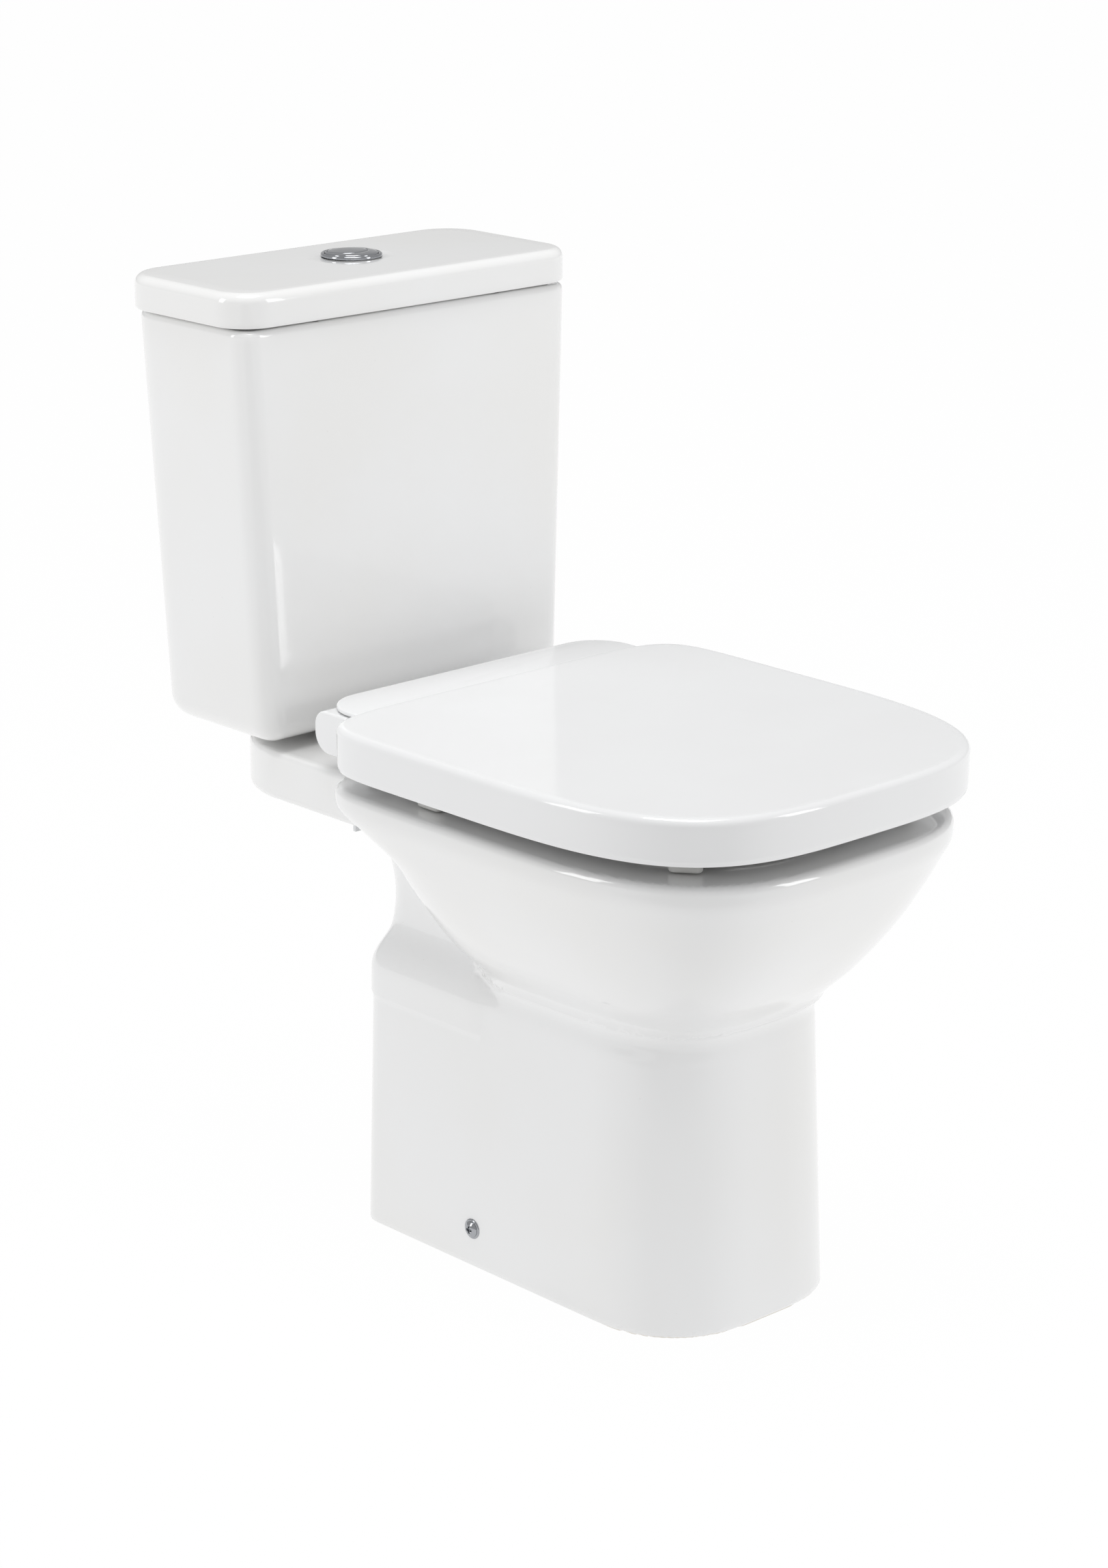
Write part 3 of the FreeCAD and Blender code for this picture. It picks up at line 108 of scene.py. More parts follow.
# ------------------------------------------------------------------------------ shader maths
class Wire:
    """A shader socket that can be used in Python arithmetic."""

    def __init__(self, tree: bpy.types.NodeTree, socket: bpy.types.NodeSocket) -> None:
        """Wrap one output socket of a node tree."""
        self.tree = tree
        self.socket = socket

    def _maths(self, operation: str, *terms: "Wire | float", clamp: bool = False) -> "Wire":
        """Add one Math node.

        Args:
            operation: the Math node's operation.
            terms: its inputs in order.
            clamp: whether the result is held between 0 and 1.

        Returns:
            The node's output.
        """
        node = self.tree.nodes.new("ShaderNodeMath")
        node.operation = operation
        node.use_clamp = clamp
        for slot, term in zip(node.inputs, terms):
            if isinstance(term, Wire):
                self.tree.links.new(term.socket, slot)
            else:
                slot.default_value = float(term)
        return Wire(self.tree, node.outputs[0])

    def __add__(self, other: "Wire | float") -> "Wire":
        """Sum."""
        return self._maths("ADD", self, other)

    __radd__ = __add__

    def __sub__(self, other: "Wire | float") -> "Wire":
        """Difference."""
        return self._maths("SUBTRACT", self, other)

    def __rsub__(self, other: float) -> "Wire":
        """Difference from a number."""
        return self._maths("SUBTRACT", other, self)

    def __mul__(self, other: "Wire | float") -> "Wire":
        """Product."""
        return self._maths("MULTIPLY", self, other)

    __rmul__ = __mul__

    def __truediv__(self, other: "Wire | float") -> "Wire":
        """Quotient."""
        return self._maths("DIVIDE", self, other)

    def __rtruediv__(self, other: float) -> "Wire":
        """Quotient of a number."""
        return self._maths("DIVIDE", other, self)

    def __pow__(self, other: "Wire | float") -> "Wire":
        """Power."""
        return self._maths("POWER", self, other)

    def band(self, low: float, high: float) -> "Wire":
        """A smooth mask that rises from 0 at low to 1 at high."""
        node = self.tree.nodes.new("ShaderNodeMapRange")
        node.interpolation_type = "SMOOTHSTEP"
        self.tree.links.new(self.socket, node.inputs["Value"])
        node.inputs["From Min"].default_value = low
        node.inputs["From Max"].default_value = high
        return Wire(self.tree, node.outputs["Result"])


class Recipe:
    """Builds one material's nodes."""

    def __init__(self, name: str) -> None:
        """Start a material with a Principled shader."""
        self.material = bpy.data.materials.new(name)
        self.material.use_nodes = True
        self.tree = self.material.node_tree
        self.shader = self.tree.nodes["Principled BSDF"]

    def node(
        self, kind: str, settings: dict[str, object] | None = None, values: dict[str, object] | None = None
    ) -> bpy.types.Node:
        """Add a node.

        Args:
            kind: the node's type name.
            settings: properties that are set first.
            values: numbers, colours or wires for its named inputs.

        Returns:
            The new node.
        """
        made = self.tree.nodes.new(kind)
        for name, setting in (settings or {}).items():
            setattr(made, name, setting)
        for name, value in (values or {}).items():
            socket = made.inputs[name]
            if isinstance(value, Wire):
                self.tree.links.new(value.socket, socket)
            else:
                socket.default_value = value
        return made

    def out(self, node: bpy.types.Node, name: str) -> Wire:
        """One output of a node as a wire."""
        return Wire(self.tree, node.outputs[name])

    def place(self) -> Wire:
        """The object coordinates."""
        return self.out(self.node("ShaderNodeTexCoord"), "Object")

    def height(self) -> Wire:
        """The height above the floor in metres."""
        return self.out(self.node("ShaderNodeSeparateXYZ", values={"Vector": self.place()}), "Z")

    def noise(self, scale: float, detail: float = 2.0, stretch: Sequence[float] = (1, 1, 1)) -> Wire:
        """Noise over the object.

        Args:
            scale: features per metre.
            detail: octaves.
            stretch: scale along each axis.

        Returns:
            The noise value.
        """
        mapping = self.node("ShaderNodeMapping", values={"Vector": self.place(), "Scale": tuple(stretch)})
        texture = self.node(
            "ShaderNodeTexNoise",
            values={"Vector": self.out(mapping, "Vector"), "Scale": scale, "Detail": detail},
        )
        return self.out(texture, "Fac")

    def specks(self, scale: float) -> Wire:
        """Distance to the nearest of scattered points."""
        texture = self.node("ShaderNodeTexVoronoi", values={"Vector": self.place(), "Scale": scale})
        return self.out(texture, "Distance")

    def blend(self, mask: Wire, low: Sequence[float], high: Sequence[float]) -> Wire:
        """Mix two colours by a mask."""
        mix = self.node("ShaderNodeMix", {"data_type": "RGBA"})
        mix.inputs[6].default_value = (*low, 1.0)
        mix.inputs[7].default_value = (*high, 1.0)
        self.tree.links.new(mask.socket, mix.inputs[0])
        return Wire(self.tree, mix.outputs[2])

    def blend_onto(self, mask: Wire, low: Wire, high: Sequence[float]) -> Wire:
        """Mix a colour over a wired colour by a mask."""
        mix = self.node("ShaderNodeMix", {"data_type": "RGBA"})
        self.tree.links.new(low.socket, mix.inputs[6])
        mix.inputs[7].default_value = (*high, 1.0)
        self.tree.links.new(mask.socket, mix.inputs[0])
        return Wire(self.tree, mix.outputs[2])

    def relief(self, height: Wire, depth: float) -> None:
        """Bump the surface by a height in 0 to 1, whose full depth is in millimetres."""
        bump = self.node("ShaderNodeBump", values={"Height": height, "Strength": 1.0, "Distance": depth * MM})
        self.feed("Normal", self.out(bump, "Normal"))

    def feed(self, name: str, value: Wire | float | Sequence[float]) -> None:
        """Give the shader a wire, a number or a colour."""
        if isinstance(value, Wire):
            self.tree.links.new(value.socket, self.shader.inputs[name])
        else:
            self.shader.inputs[name].default_value = value


# ------------------------------------------------------------------------------ finishes
@dataclass(frozen=True)
class Glaze:
    """Glassy white glaze over fired clay, bare where the ware stood in the kiln."""

    name: str = "white_glaze"
    tone: tuple[float, float, float] = (0.845, 0.848, 0.85)
    warm: tuple[float, float, float] = (0.83, 0.828, 0.82)
    clay: tuple[float, float, float] = (0.72, 0.68, 0.61)
    bare_height: float = 0.0018

    def make(self) -> bpy.types.Material:
        """Build the material."""
        mix = Recipe(self.name)
        cloud = mix.noise(5.0, 3.0)
        glaze = mix.blend(cloud.band(0.35, 0.7), self.tone, self.warm)
        pinhole = mix.specks(42.0).band(0.028, 0.012)
        glaze = mix.blend_onto(pinhole * 0.35, glaze, (0.62, 0.6, 0.56))
        bare = mix.height().band(self.bare_height, self.bare_height * 0.6)
        mix.feed("Base Color", mix.blend_onto(bare, glaze, self.clay))
        mix.feed("Roughness", bare * 0.6 + mix.noise(26.0, 2.0) * 0.05 + 0.07)
        mix.feed("Coat Weight", (1.0 - bare) * 0.6)
        mix.feed("Coat Roughness", 0.03)
        mix.feed("IOR", 1.52)
        peel = mix.noise(38.0, 1.0) * 0.8 + mix.noise(160.0, 2.0) * 0.2 + bare * mix.noise(900.0, 3.0)
        mix.relief(peel, 0.055)
        return mix.material


@dataclass(frozen=True)
class GlossPlastic:
    """Polished hard moulding with a faint flow texture."""

    name: str = "gloss_white_moulding"
    tone: tuple[float, float, float] = (0.84, 0.845, 0.85)
    shade: tuple[float, float, float] = (0.828, 0.83, 0.835)
    roughness: float = 0.09

    def make(self) -> bpy.types.Material:
        """Build the material."""
        mix = Recipe(self.name)
        mix.feed("Base Color", mix.blend(mix.noise(9.0, 2.0).band(0.3, 0.7), self.tone, self.shade))
        scuffs = mix.noise(220.0, 4.0, (1.0, 0.12, 1.0)).band(0.66, 0.8)
        mix.feed("Roughness", mix.noise(34.0, 2.0) * 0.04 + scuffs * 0.07 + self.roughness)
        mix.feed("IOR", 1.5)
        mix.feed("Coat Weight", 0.25)
        mix.feed("Coat Roughness", 0.04)
        mix.relief(mix.noise(70.0, 1.0) * 0.7 + mix.noise(420.0, 2.0) * 0.3, 0.022)
        return mix.material


@dataclass(frozen=True)
class Metal:
    """Plated, brushed or turned metal."""

    name: str
    tone: tuple[float, float, float]
    dull: tuple[float, float, float]
    roughness: float
    stretch: tuple[float, float, float] = (1.0, 1.0, 1.0)
    depth: float = 0.01

    def make(self) -> bpy.types.Material:
        """Build the material."""
        mix = Recipe(self.name)
        haze = mix.noise(45.0, 3.0)
        lines = mix.noise(900.0, 3.0, self.stretch)
        mix.feed("Base Color", mix.blend(haze.band(0.4, 0.75), self.tone, self.dull))
        mix.feed("Metallic", 1.0)
        mix.feed("Roughness", haze * self.roughness * 0.6 + lines * self.roughness * 0.5 + self.roughness * 0.5)
        mix.relief(lines, self.depth)
        return mix.material


@dataclass(frozen=True)
class Matt:
    """Rubber or satin plastic with a fine grain."""

    name: str
    tone: tuple[float, float, float]
    pale: tuple[float, float, float]
    roughness: float
    grain: float = 600.0
    depth: float = 0.03

    def make(self) -> bpy.types.Material:
        """Build the material."""
        mix = Recipe(self.name)
        cloud = mix.noise(30.0, 3.0)
        grain = mix.noise(self.grain, 3.0)
        mix.feed("Base Color", mix.blend(cloud.band(0.4, 0.8), self.tone, self.pale))
        mix.feed("Roughness", grain * 0.16 + cloud * 0.08 + self.roughness)
        mix.relief(grain, self.depth)
        return mix.material


class Finishes:
    """Every material of the object, made once."""

    def __init__(self) -> None:
        """Build all materials."""
        self.by_slot: dict[Slot, bpy.types.Material] = {
            Slot.CHINA: Glaze().make(),
            Slot.SEAT: GlossPlastic().make(),
            Slot.CHROME: Metal("polished_chrome", (0.4, 0.41, 0.43), (0.31, 0.32, 0.34), 0.05).make(),
            Slot.STAINLESS: Metal(
                "brushed_stainless", (0.6, 0.6, 0.59), (0.47, 0.47, 0.46), 0.3, (0.03, 1, 1), 0.03
            ).make(),
            Slot.ZINC: Metal("zinc_plate", (0.66, 0.68, 0.66), (0.52, 0.54, 0.5), 0.4, depth=0.02).make(),
            Slot.BRASS: Metal("turned_brass", (0.78, 0.6, 0.3), (0.6, 0.44, 0.2), 0.25, (1, 0.05, 1), 0.03).make(),
            Slot.RUBBER: Matt("black_rubber", (0.018, 0.018, 0.019), (0.05, 0.05, 0.048), 0.55).make(),
            Slot.BUFFER: Matt("pale_buffer_rubber", (0.7, 0.7, 0.68), (0.62, 0.62, 0.6), 0.4).make(),
            Slot.VALVE: Matt("satin_white_plastic", (0.72, 0.73, 0.74), (0.64, 0.65, 0.66), 0.32, 350.0).make(),
            Slot.FLOAT: Matt("blue_float_plastic", (0.06, 0.16, 0.42), (0.1, 0.22, 0.46), 0.3, 350.0).make(),
        }

    def __getitem__(self, slot: Slot) -> bpy.types.Material:
        """The material of a slot."""
        return self.by_slot[slot]


# ------------------------------------------------------------------------------ mesh helpers
def new_piece(name: str, points: np.ndarray, faces: Sequence[Sequence[int]]) -> bpy.types.Object:
    """Make a smooth mesh object.

    Args:
        name: the piece's name.
        points: vertices in millimetres, one row each.
        faces: vertex numbers of each face.

    Returns:
        The linked object, at the origin.
    """
    mesh = bpy.data.meshes.new(name)
    mesh.from_pydata((np.asarray(points, float) * MM).tolist(), [], [list(face) for face in faces])
    mesh.validate()
    mesh.polygons.foreach_set("use_smooth", [True] * len(mesh.polygons))
    mesh.update()
    piece = bpy.data.objects.new(name, mesh)
    bpy.context.scene.collection.objects.link(piece)
    return piece


def set_normals(piece: bpy.types.Object, normals: np.ndarray) -> None:
    """Give every vertex its exact surface normal."""
    piece.data.normals_split_custom_set_from_vertices(normals.tolist())


def loft(rings: Sequence[np.ndarray], close_ends: bool = True) -> tuple[np.ndarray, list[list[int]]]:
    """Join rings of equal length with quads.

    Args:
        rings: closed outlines, each of the same number of points, that run anticlockwise seen from
            the side that the first ring faces away from.
        close_ends: whether the first and last ring are closed with a face.

    Returns:
        The points and the faces.
    """
    count = len(rings[0])
    faces: list[list[int]] = []
    for level in range(len(rings) - 1):
        low = level * count
        high = low + count
        for step in range(count):
            after = (step + 1) % count
            faces.append([low + step, low + after, high + after, high + step])
    if close_ends:
        faces.append(list(range(count))[::-1])
        last = (len(rings) - 1) * count
        faces.append([last + step for step in range(count)])
    return np.concatenate(rings), faces


def joined(parts: Sequence[tuple[np.ndarray, list[list[int]]]]) -> tuple[np.ndarray, list[list[int]]]:
    """Put several closed meshes in one."""
    points: list[np.ndarray] = []
    faces: list[list[int]] = []
    offset = 0
    for part_points, part_faces in parts:
        points.append(part_points)
        faces.extend([[number + offset for number in face] for face in part_faces])
        offset += len(part_points)
    return np.concatenate(points), faces


def bend(radius: float, steps: int = 6) -> list[tuple[float, float]]:
    """Points of a quarter circle from straight down to straight out.

    Args:
        radius: its radius.
        steps: the number of spans.

    Returns:
        Pairs (out, down) from the circle's centre.
    """
    angles = [0.5 * math.pi * step / steps for step in range(steps + 1)]
    return [(radius * math.sin(a), radius * math.cos(a)) for a in angles]


@dataclass(frozen=True)
class RoundedPlan:
    """A rectangle with rounded corners, symmetric about X = 0, sampled evenly by arc."""

    half_width: float
    front: float
    rear: float
    front_corner: float
    rear_corner: float
    bow: float = 0.0
    corner_steps: int = 14
    side_steps: int = 22

    def ring(self, inset: float, z: float) -> np.ndarray:
        """The outline, drawn in by an inset, at a height."""
        points: list[tuple[float, float]] = []
        corners = [
            (1, self.front, self.front_corner, -90.0),
            (1, self.rear, self.rear_corner, 0.0),
            (-1, self.rear, self.rear_corner, 90.0),
            (-1, self.front, self.front_corner, 180.0),
        ]
        arcs = []
        for side, end, corner, start in corners:
            radius = max(corner - inset, 0.4)
            inward = 1 if end == self.front else -1
            x = side * (self.half_width - inset - radius)
            y = end + inward * (inset + radius)
            arc = []
            for step in range(self.corner_steps + 1):
                angle = math.radians(start + 90.0 * step / self.corner_steps)
                arc.append((x + radius * math.cos(angle), y + radius * math.sin(angle)))
            arcs.append(arc)
        for arc, following in zip(arcs, arcs[1:] + arcs[:1]):
            points.extend(arc)
            (x0, y0), (x1, y1) = arc[-1], following[0]
            for step in range(1, self.side_steps):
                share = step / self.side_steps
                points.append((x0 + share * (x1 - x0), y0 + share * (y1 - y0)))
        outline = np.array([(x, y, z) for x, y in points])
        middle = 0.5 * (self.front + self.rear)
        forward = np.clip((middle - outline[:, 1]) / (middle - self.front), 0.0, 1.0)
        outline[:, 1] -= self.bow * forward * (1.0 - (outline[:, 0] / self.half_width) ** 2)
        return outline


@dataclass(frozen=True)
class EggPlan:
    """Two half superellipses that meet where the outline is widest."""

    half_width: float
    front: float
    rear: float
    widest: float = 80.0
    front_power: float = 3.5
    rear_power: float = 8.0
    count: int = 384

    def ring(self, inset: float, z: float) -> np.ndarray:
        """The outline, drawn in by an inset, at a height."""
        turn = np.linspace(-math.pi, math.pi, 4001)
        across, along = np.sin(turn), -np.cos(turn)
        ahead = along < 0
        power = np.where(ahead, self.front_power, self.rear_power)
        reach = np.where(ahead, self.front - self.widest, self.rear + self.widest) - inset
        radius = (np.abs(across) ** power + np.abs(along) ** power) ** (-1.0 / power)
        x = (self.half_width - inset) * across * radius
        y = reach * along * radius - self.widest
        length = np.concatenate([[0.0], np.cumsum(np.hypot(np.diff(x), np.diff(y)))])
        even = np.linspace(0.0, length[-1], self.count, endpoint=False)
        return np.stack([np.interp(even, length, x), np.interp(even, length, y), np.full(self.count, z)], 1)


def stack(plan: RoundedPlan | EggPlan, profile: Sequence[tuple[float, float]]) -> list[np.ndarray]:
    """One ring of a plan for each (inset, height) of a profile."""
    return [plan.ring(inset, z) for inset, z in profile]


# ------------------------------------------------------------------------------ solids by distance
def round_union(a: np.ndarray, b: np.ndarray, radius: float) -> np.ndarray:
    """Union of two distance fields with a fillet of that radius."""
    corner = np.hypot(np.maximum(radius - a, 0.0), np.maximum(radius - b, 0.0))
    return np.maximum(radius, np.minimum(a, b)) - corner


def round_meet(a: np.ndarray, b: np.ndarray, radius: float) -> np.ndarray:
    """Intersection of two distance fields with an edge of that radius."""
    corner = np.hypot(np.maximum(radius + a, 0.0), np.maximum(radius + b, 0.0))
    return np.minimum(-radius, np.maximum(a, b)) + corner


def table(heights: Sequence[float], values: Sequence[float], z: np.ndarray) -> np.ndarray:
    """A smooth curve through values at rising heights."""
    known = np.array(heights, float)
    wanted = np.array(values, float)
    slopes = np.gradient(wanted, known)
    slopes[[0, -1]] = 0.0
    low = np.clip(np.searchsorted(known, z) - 1, 0, len(known) - 2)
    step = known[low + 1] - known[low]
    t = np.clip((z - known[low]) / step, 0.0, 1.0)
    a = (1 + 2 * t) * (1 - t) ** 2
    b = t * (1 - t) ** 2
    c = t * t * (3 - 2 * t)
    d = t * t * (t - 1)
    return a * wanted[low] + b * step * slopes[low] + c * wanted[low + 1] + d * step * slopes[low + 1]


def rounded_gap(
    x: np.ndarray,
    y: np.ndarray,
    half_width: np.ndarray | float,
    front: np.ndarray | float,
    rear: np.ndarray | float,
    front_corner: float,
    rear_corner: float,
    front_power: float = 2.0,
) -> np.ndarray:
    """Signed distance in plan to a rectangle with rounded corners, the front ones squarer with power."""
    middle = 0.5 * (np.asarray(front) + rear)
    half_depth = 0.5 * (np.asarray(rear) - front)
    radius = np.where(y < middle, front_corner, rear_corner)
    u = np.abs(x) - half_width + radius
    v = np.abs(y - middle) - half_depth + radius
    power = np.where(y < middle, front_power, 2.0)
    outside = (np.maximum(u, 0.0) ** power + np.maximum(v, 0.0) ** power) ** (1.0 / power)
    return np.minimum(np.maximum(u, v), 0.0) + outside - radius


def egg_gap(
    x: np.ndarray,
    y: np.ndarray,
    half_width: np.ndarray,
    front: np.ndarray,
    rear: np.ndarray,
    widest: np.ndarray | float,
    front_power: float,
    rear_power: np.ndarray | float,
) -> np.ndarray:
    """Signed distance in plan, along the radius, to an egg outline."""
    along = y + widest
    ahead = along < 0
    power = np.where(ahead, front_power, rear_power)
    reach = np.where(ahead, front - widest, rear + widest)
    share = (np.abs(x / half_width) ** power + np.abs(along / reach) ** power) ** (1.0 / power)
    return np.hypot(x, along) * (1.0 - 1.0 / np.maximum(share, 0.02))


def rod_gap(
    x: np.ndarray, y: np.ndarray, z: np.ndarray, start: Sequence[float], end: Sequence[float], radius: float
) -> np.ndarray:
    """Signed distance to a rod with ball ends."""
    ax, ay, az = (x - start[0], y - start[1], z - start[2])
    run = np.array(end, float) - np.array(start, float)
    share = np.clip((ax * run[0] + ay * run[1] + az * run[2]) / (run @ run), 0.0, 1.0)
    return np.sqrt((ax - share * run[0]) ** 2 + (ay - share * run[1]) ** 2 + (az - share * run[2]) ** 2) - radius


class Casting:
    """Turns a distance field into a mesh whose points lie on the surface itself."""

    def __init__(self, field: Field, low: Sequence[float], high: Sequence[float], cell: float) -> None:
        """Keep the field, the box that holds it and the size of a grid cell."""
        self.field = field
        self.low = np.array(low, float)
        self.high = np.array(high, float)
        self.cell = cell

    def slope(self, points: np.ndarray) -> np.ndarray:
        """The field's gradient at some points."""
        reach = 0.05
        gradient = np.empty_like(points)
        for axis in range(3):
            step = np.zeros(3)
            step[axis] = reach
            ahead = self.field(*(points + step).T)
            behind = self.field(*(points - step).T)
            gradient[:, axis] = (ahead - behind) / (2 * reach)
        return gradient

    def mesh(self) -> tuple[np.ndarray, np.ndarray, np.ndarray]:
        """Mesh the surface.

        Returns:
            Points, quads and outward unit normals.
        """
        low = self.low - 1.5 * self.cell
        axes = [np.arange(low[i], self.high[i] + 3.5 * self.cell, self.cell) for i in range(3)]
        shape = tuple(len(axis) for axis in axes)
        values = np.empty(shape, np.float32)
        for index, height in enumerate(axes[2]):
            x, y = np.meshgrid(axes[0], axes[1], indexing="ij")
            values[:, :, index] = self.field(x, y, np.full_like(x, height))
        values[[0, -1]] = values[:, [0, -1]] = values[:, :, [0, -1]] = self.cell
        inside = values < 0
        corners = np.zeros(tuple(n - 1 for n in shape), np.int8)
        sums = np.zeros(corners.shape + (3,), np.float32)
        hits = np.zeros(corners.shape, np.int8)
        quads: list[np.ndarray] = []
        crossings = []
        for axis in range(3):
            a = [slice(None)] * 3
            b = [slice(None)] * 3
            a[axis] = slice(None, -1)
            b[axis] = slice(1, None)
            va, vb = values[tuple(a)], values[tuple(b)]
            change = inside[tuple(a)] != inside[tuple(b)]
            where = np.argwhere(change)
            first, second = va[change], vb[change]
            share = first / (first - second)
            spot = where.astype(np.float32)
            spot[:, axis] += share
            others = [i for i in range(3) if i != axis]
            for du in (0, -1):
                for dv in (0, -1):
                    cell = where.copy()
                    cell[:, others[0]] += du
                    cell[:, others[1]] += dv
                    good = np.all((cell >= 0) & (cell < np.array(corners.shape)), axis=1)
                    np.add.at(sums, tuple(cell[good].T), spot[good])
                    np.add.at(hits, tuple(cell[good].T), 1)
            crossings.append((axis, where, first < 0, others))
        used = hits > 0
        number = np.full(corners.shape, -1, np.int64)
        number[used] = np.arange(used.sum())
        points = sums[used] / hits[used][:, None] * self.cell + low
        for axis, where, leaving, others in crossings:
            ring = []
            for du, dv in ((0, 0), (-1, 0), (-1, -1), (0, -1)):
                cell = where.copy()
                cell[:, others[0]] += du
                cell[:, others[1]] += dv
                ring.append(number[tuple(cell.T)])
            face = np.stack(ring, 1)
            flip = leaving if axis == 1 else ~leaving
            face[flip] = face[flip][:, ::-1]
            quads.append(face)
        points = points.astype(float)
        for _ in range(6):
            gradient = self.slope(points)
            size = np.maximum((gradient**2).sum(1), 0.09)
            step = (self.field(*points.T) / size)[:, None] * gradient
            length = np.maximum(np.linalg.norm(step, axis=1, keepdims=True), 1e-9)
            points = points - step * np.minimum(1.0, 0.5 * self.cell / length)
        gradient = self.slope(points)
        normals = gradient / np.maximum(np.linalg.norm(gradient, axis=1, keepdims=True), 1e-9)
        return points, np.concatenate(quads), normals

    def piece(self, name: str) -> bpy.types.Object:
        """Make the object."""
        points, quads, normals = self.mesh()
        made = new_piece(name, points, quads.tolist())
        set_normals(made, normals)
        return made


# ------------------------------------------------------------------------------ repeated items
class Tree:
    """A Geometry Nodes tree with named inputs."""

    def __init__(self, name: str) -> None:
        """Start a tree with a geometry input and output."""
        self.tree = bpy.data.node_groups.new(name, "GeometryNodeTree")
        self.tree.interface.new_socket("Geometry", in_out="INPUT", socket_type="NodeSocketGeometry")
        self.tree.interface.new_socket("Geometry", in_out="OUTPUT", socket_type="NodeSocketGeometry")
        self.entry = self.tree.nodes.new("NodeGroupInput")
        self.exit = self.tree.nodes.new("NodeGroupOutput")

    def size(self, name: str, kind: str, default: float | int | None = None) -> bpy.types.NodeSocket:
        """Add a named input and return its socket."""
        item = self.tree.interface.new_socket(name, in_out="INPUT", socket_type="NodeSocket" + kind)
        if default is not None:
            item.default_value = default
        return self.entry.outputs[name]

    def node(
        self, kind: str, settings: dict[str, object] | None = None, values: dict[str, object] | None = None
    ) -> bpy.types.Node:
        """Add a node with its settings and its numbers or links."""
        made = self.tree.nodes.new(kind)
        for name, setting in (settings or {}).items():
            setattr(made, name, setting)
        for name, value in (values or {}).items():
            if isinstance(value, bpy.types.NodeSocket):
                self.tree.links.new(value, made.inputs[name])
            else:
                made.inputs[name].default_value = value
        return made

    def maths(self, operation: str, first: object, second: object) -> bpy.types.NodeSocket:
        """Add a Math node on two numbers or sockets."""
        made = self.tree.nodes.new("ShaderNodeMath")
        made.operation = operation
        for slot, term in zip(made.inputs, (first, second)):
            if isinstance(term, bpy.types.NodeSocket):
                self.tree.links.new(term, slot)
            else:
                slot.default_value = term
        return made.outputs[0]

    def end(self, geometry: bpy.types.NodeSocket, material: bpy.types.NodeSocket) -> None:
        """Realize the instances, set the material and join the output."""
        real = self.node("GeometryNodeRealizeInstances", values={"Geometry": geometry})
        dressed = self.node(
            "GeometryNodeSetMaterial", values={"Geometry": real.outputs["Geometry"], "Material": material}
        )
        self.tree.links.new(dressed.outputs["Geometry"], self.exit.inputs["Geometry"])

    def grow(self, name: str, seed: bpy.types.Object | None, sizes: dict[str, object]) -> bpy.types.Object:
        """Run the tree and keep the result as a plain mesh.

        Args:
            name: the new piece's name.
            seed: the object whose mesh is the tree's geometry, or nothing.
            sizes: values by input name.

        Returns:
            The piece, with no modifier.
        """
        mesh = seed.data.copy() if seed is not None else bpy.data.meshes.new(name + "_seed")
        host = bpy.data.objects.new(name, mesh)
        bpy.context.scene.collection.objects.link(host)
        modifier = host.modifiers.new("grow", "NODES")
        modifier.node_group = self.tree
        for item in self.tree.interface.items_tree:
            if item.in_out == "INPUT" and item.name in sizes:
                modifier[item.identifier] = sizes[item.name]
        graph = bpy.context.evaluated_depsgraph_get()
        grown = bpy.data.meshes.new_from_object(host.evaluated_get(graph), depsgraph=graph)
        host.modifiers.remove(modifier)
        host.data = grown
        grown.name = name
        grown.polygons.foreach_set("use_smooth", [True] * len(grown.polygons))
        return host


class CopiesTree(Tree):
    """Sets one copy of a pattern piece on every point of the seed, turned about Z."""

    def __init__(self) -> None:
        """Build the tree."""
        super().__init__("copies_on_points")
        pattern = self.size("Pattern", "Object")
        material = self.size("Material", "Material")
        shape = self.node("GeometryNodeObjectInfo", values={"Object": pattern})
        turn = self.node("GeometryNodeInputNamedAttribute", {"data_type": "FLOAT"}, {"Name": "turn"})
        spin = self.node("ShaderNodeCombineXYZ", values={"Z": turn.outputs["Attribute"]})
        copies = self.node(
            "GeometryNodeInstanceOnPoints",
            values={
                "Points": self.entry.outputs["Geometry"],
                "Instance": shape.outputs["Geometry"],
                "Rotation": spin.outputs["Vector"],
            },
        )
        self.end(copies.outputs["Instances"], material)


class ThreadTree(Tree):
    """Raised thread rings, evenly pitched up a bolt, at every point of the seed."""

    def __init__(self) -> None:
        """Build the tree."""
        super().__init__("thread_rings")
        radius = self.size("Radius", "Float", 0.004)
        depth = self.size("Depth", "Float", 0.0004)
        pitch = self.size("Pitch", "Float", 0.0015)
        count = self.size("Count", "Int", 8)
        material = self.size("Material", "Material")
        circle = self.node(
            "GeometryNodeCurvePrimitiveCircle", values={"Resolution": 40, "Radius": radius}
        )
        crest = self.node("GeometryNodeCurvePrimitiveCircle", values={"Resolution": 6, "Radius": depth})
        ring = self.node(
            "GeometryNodeCurveToMesh",
            values={"Curve": circle.outputs["Curve"], "Profile Curve": crest.outputs["Curve"]},
        )
        rise = self.node("ShaderNodeCombineXYZ", values={"Z": pitch})
        line = self.node("GeometryNodeMeshLine", values={"Count": count, "Offset": rise.outputs["Vector"]})
        turns = self.node(
            "GeometryNodeInstanceOnPoints",
            values={"Points": line.outputs["Mesh"], "Instance": ring.outputs["Mesh"]},
        )
        bolts = self.node(
            "GeometryNodeInstanceOnPoints",
            values={"Points": self.entry.outputs["Geometry"], "Instance": turns.outputs["Instances"]},
        )
        self.end(bolts.outputs["Instances"], material)


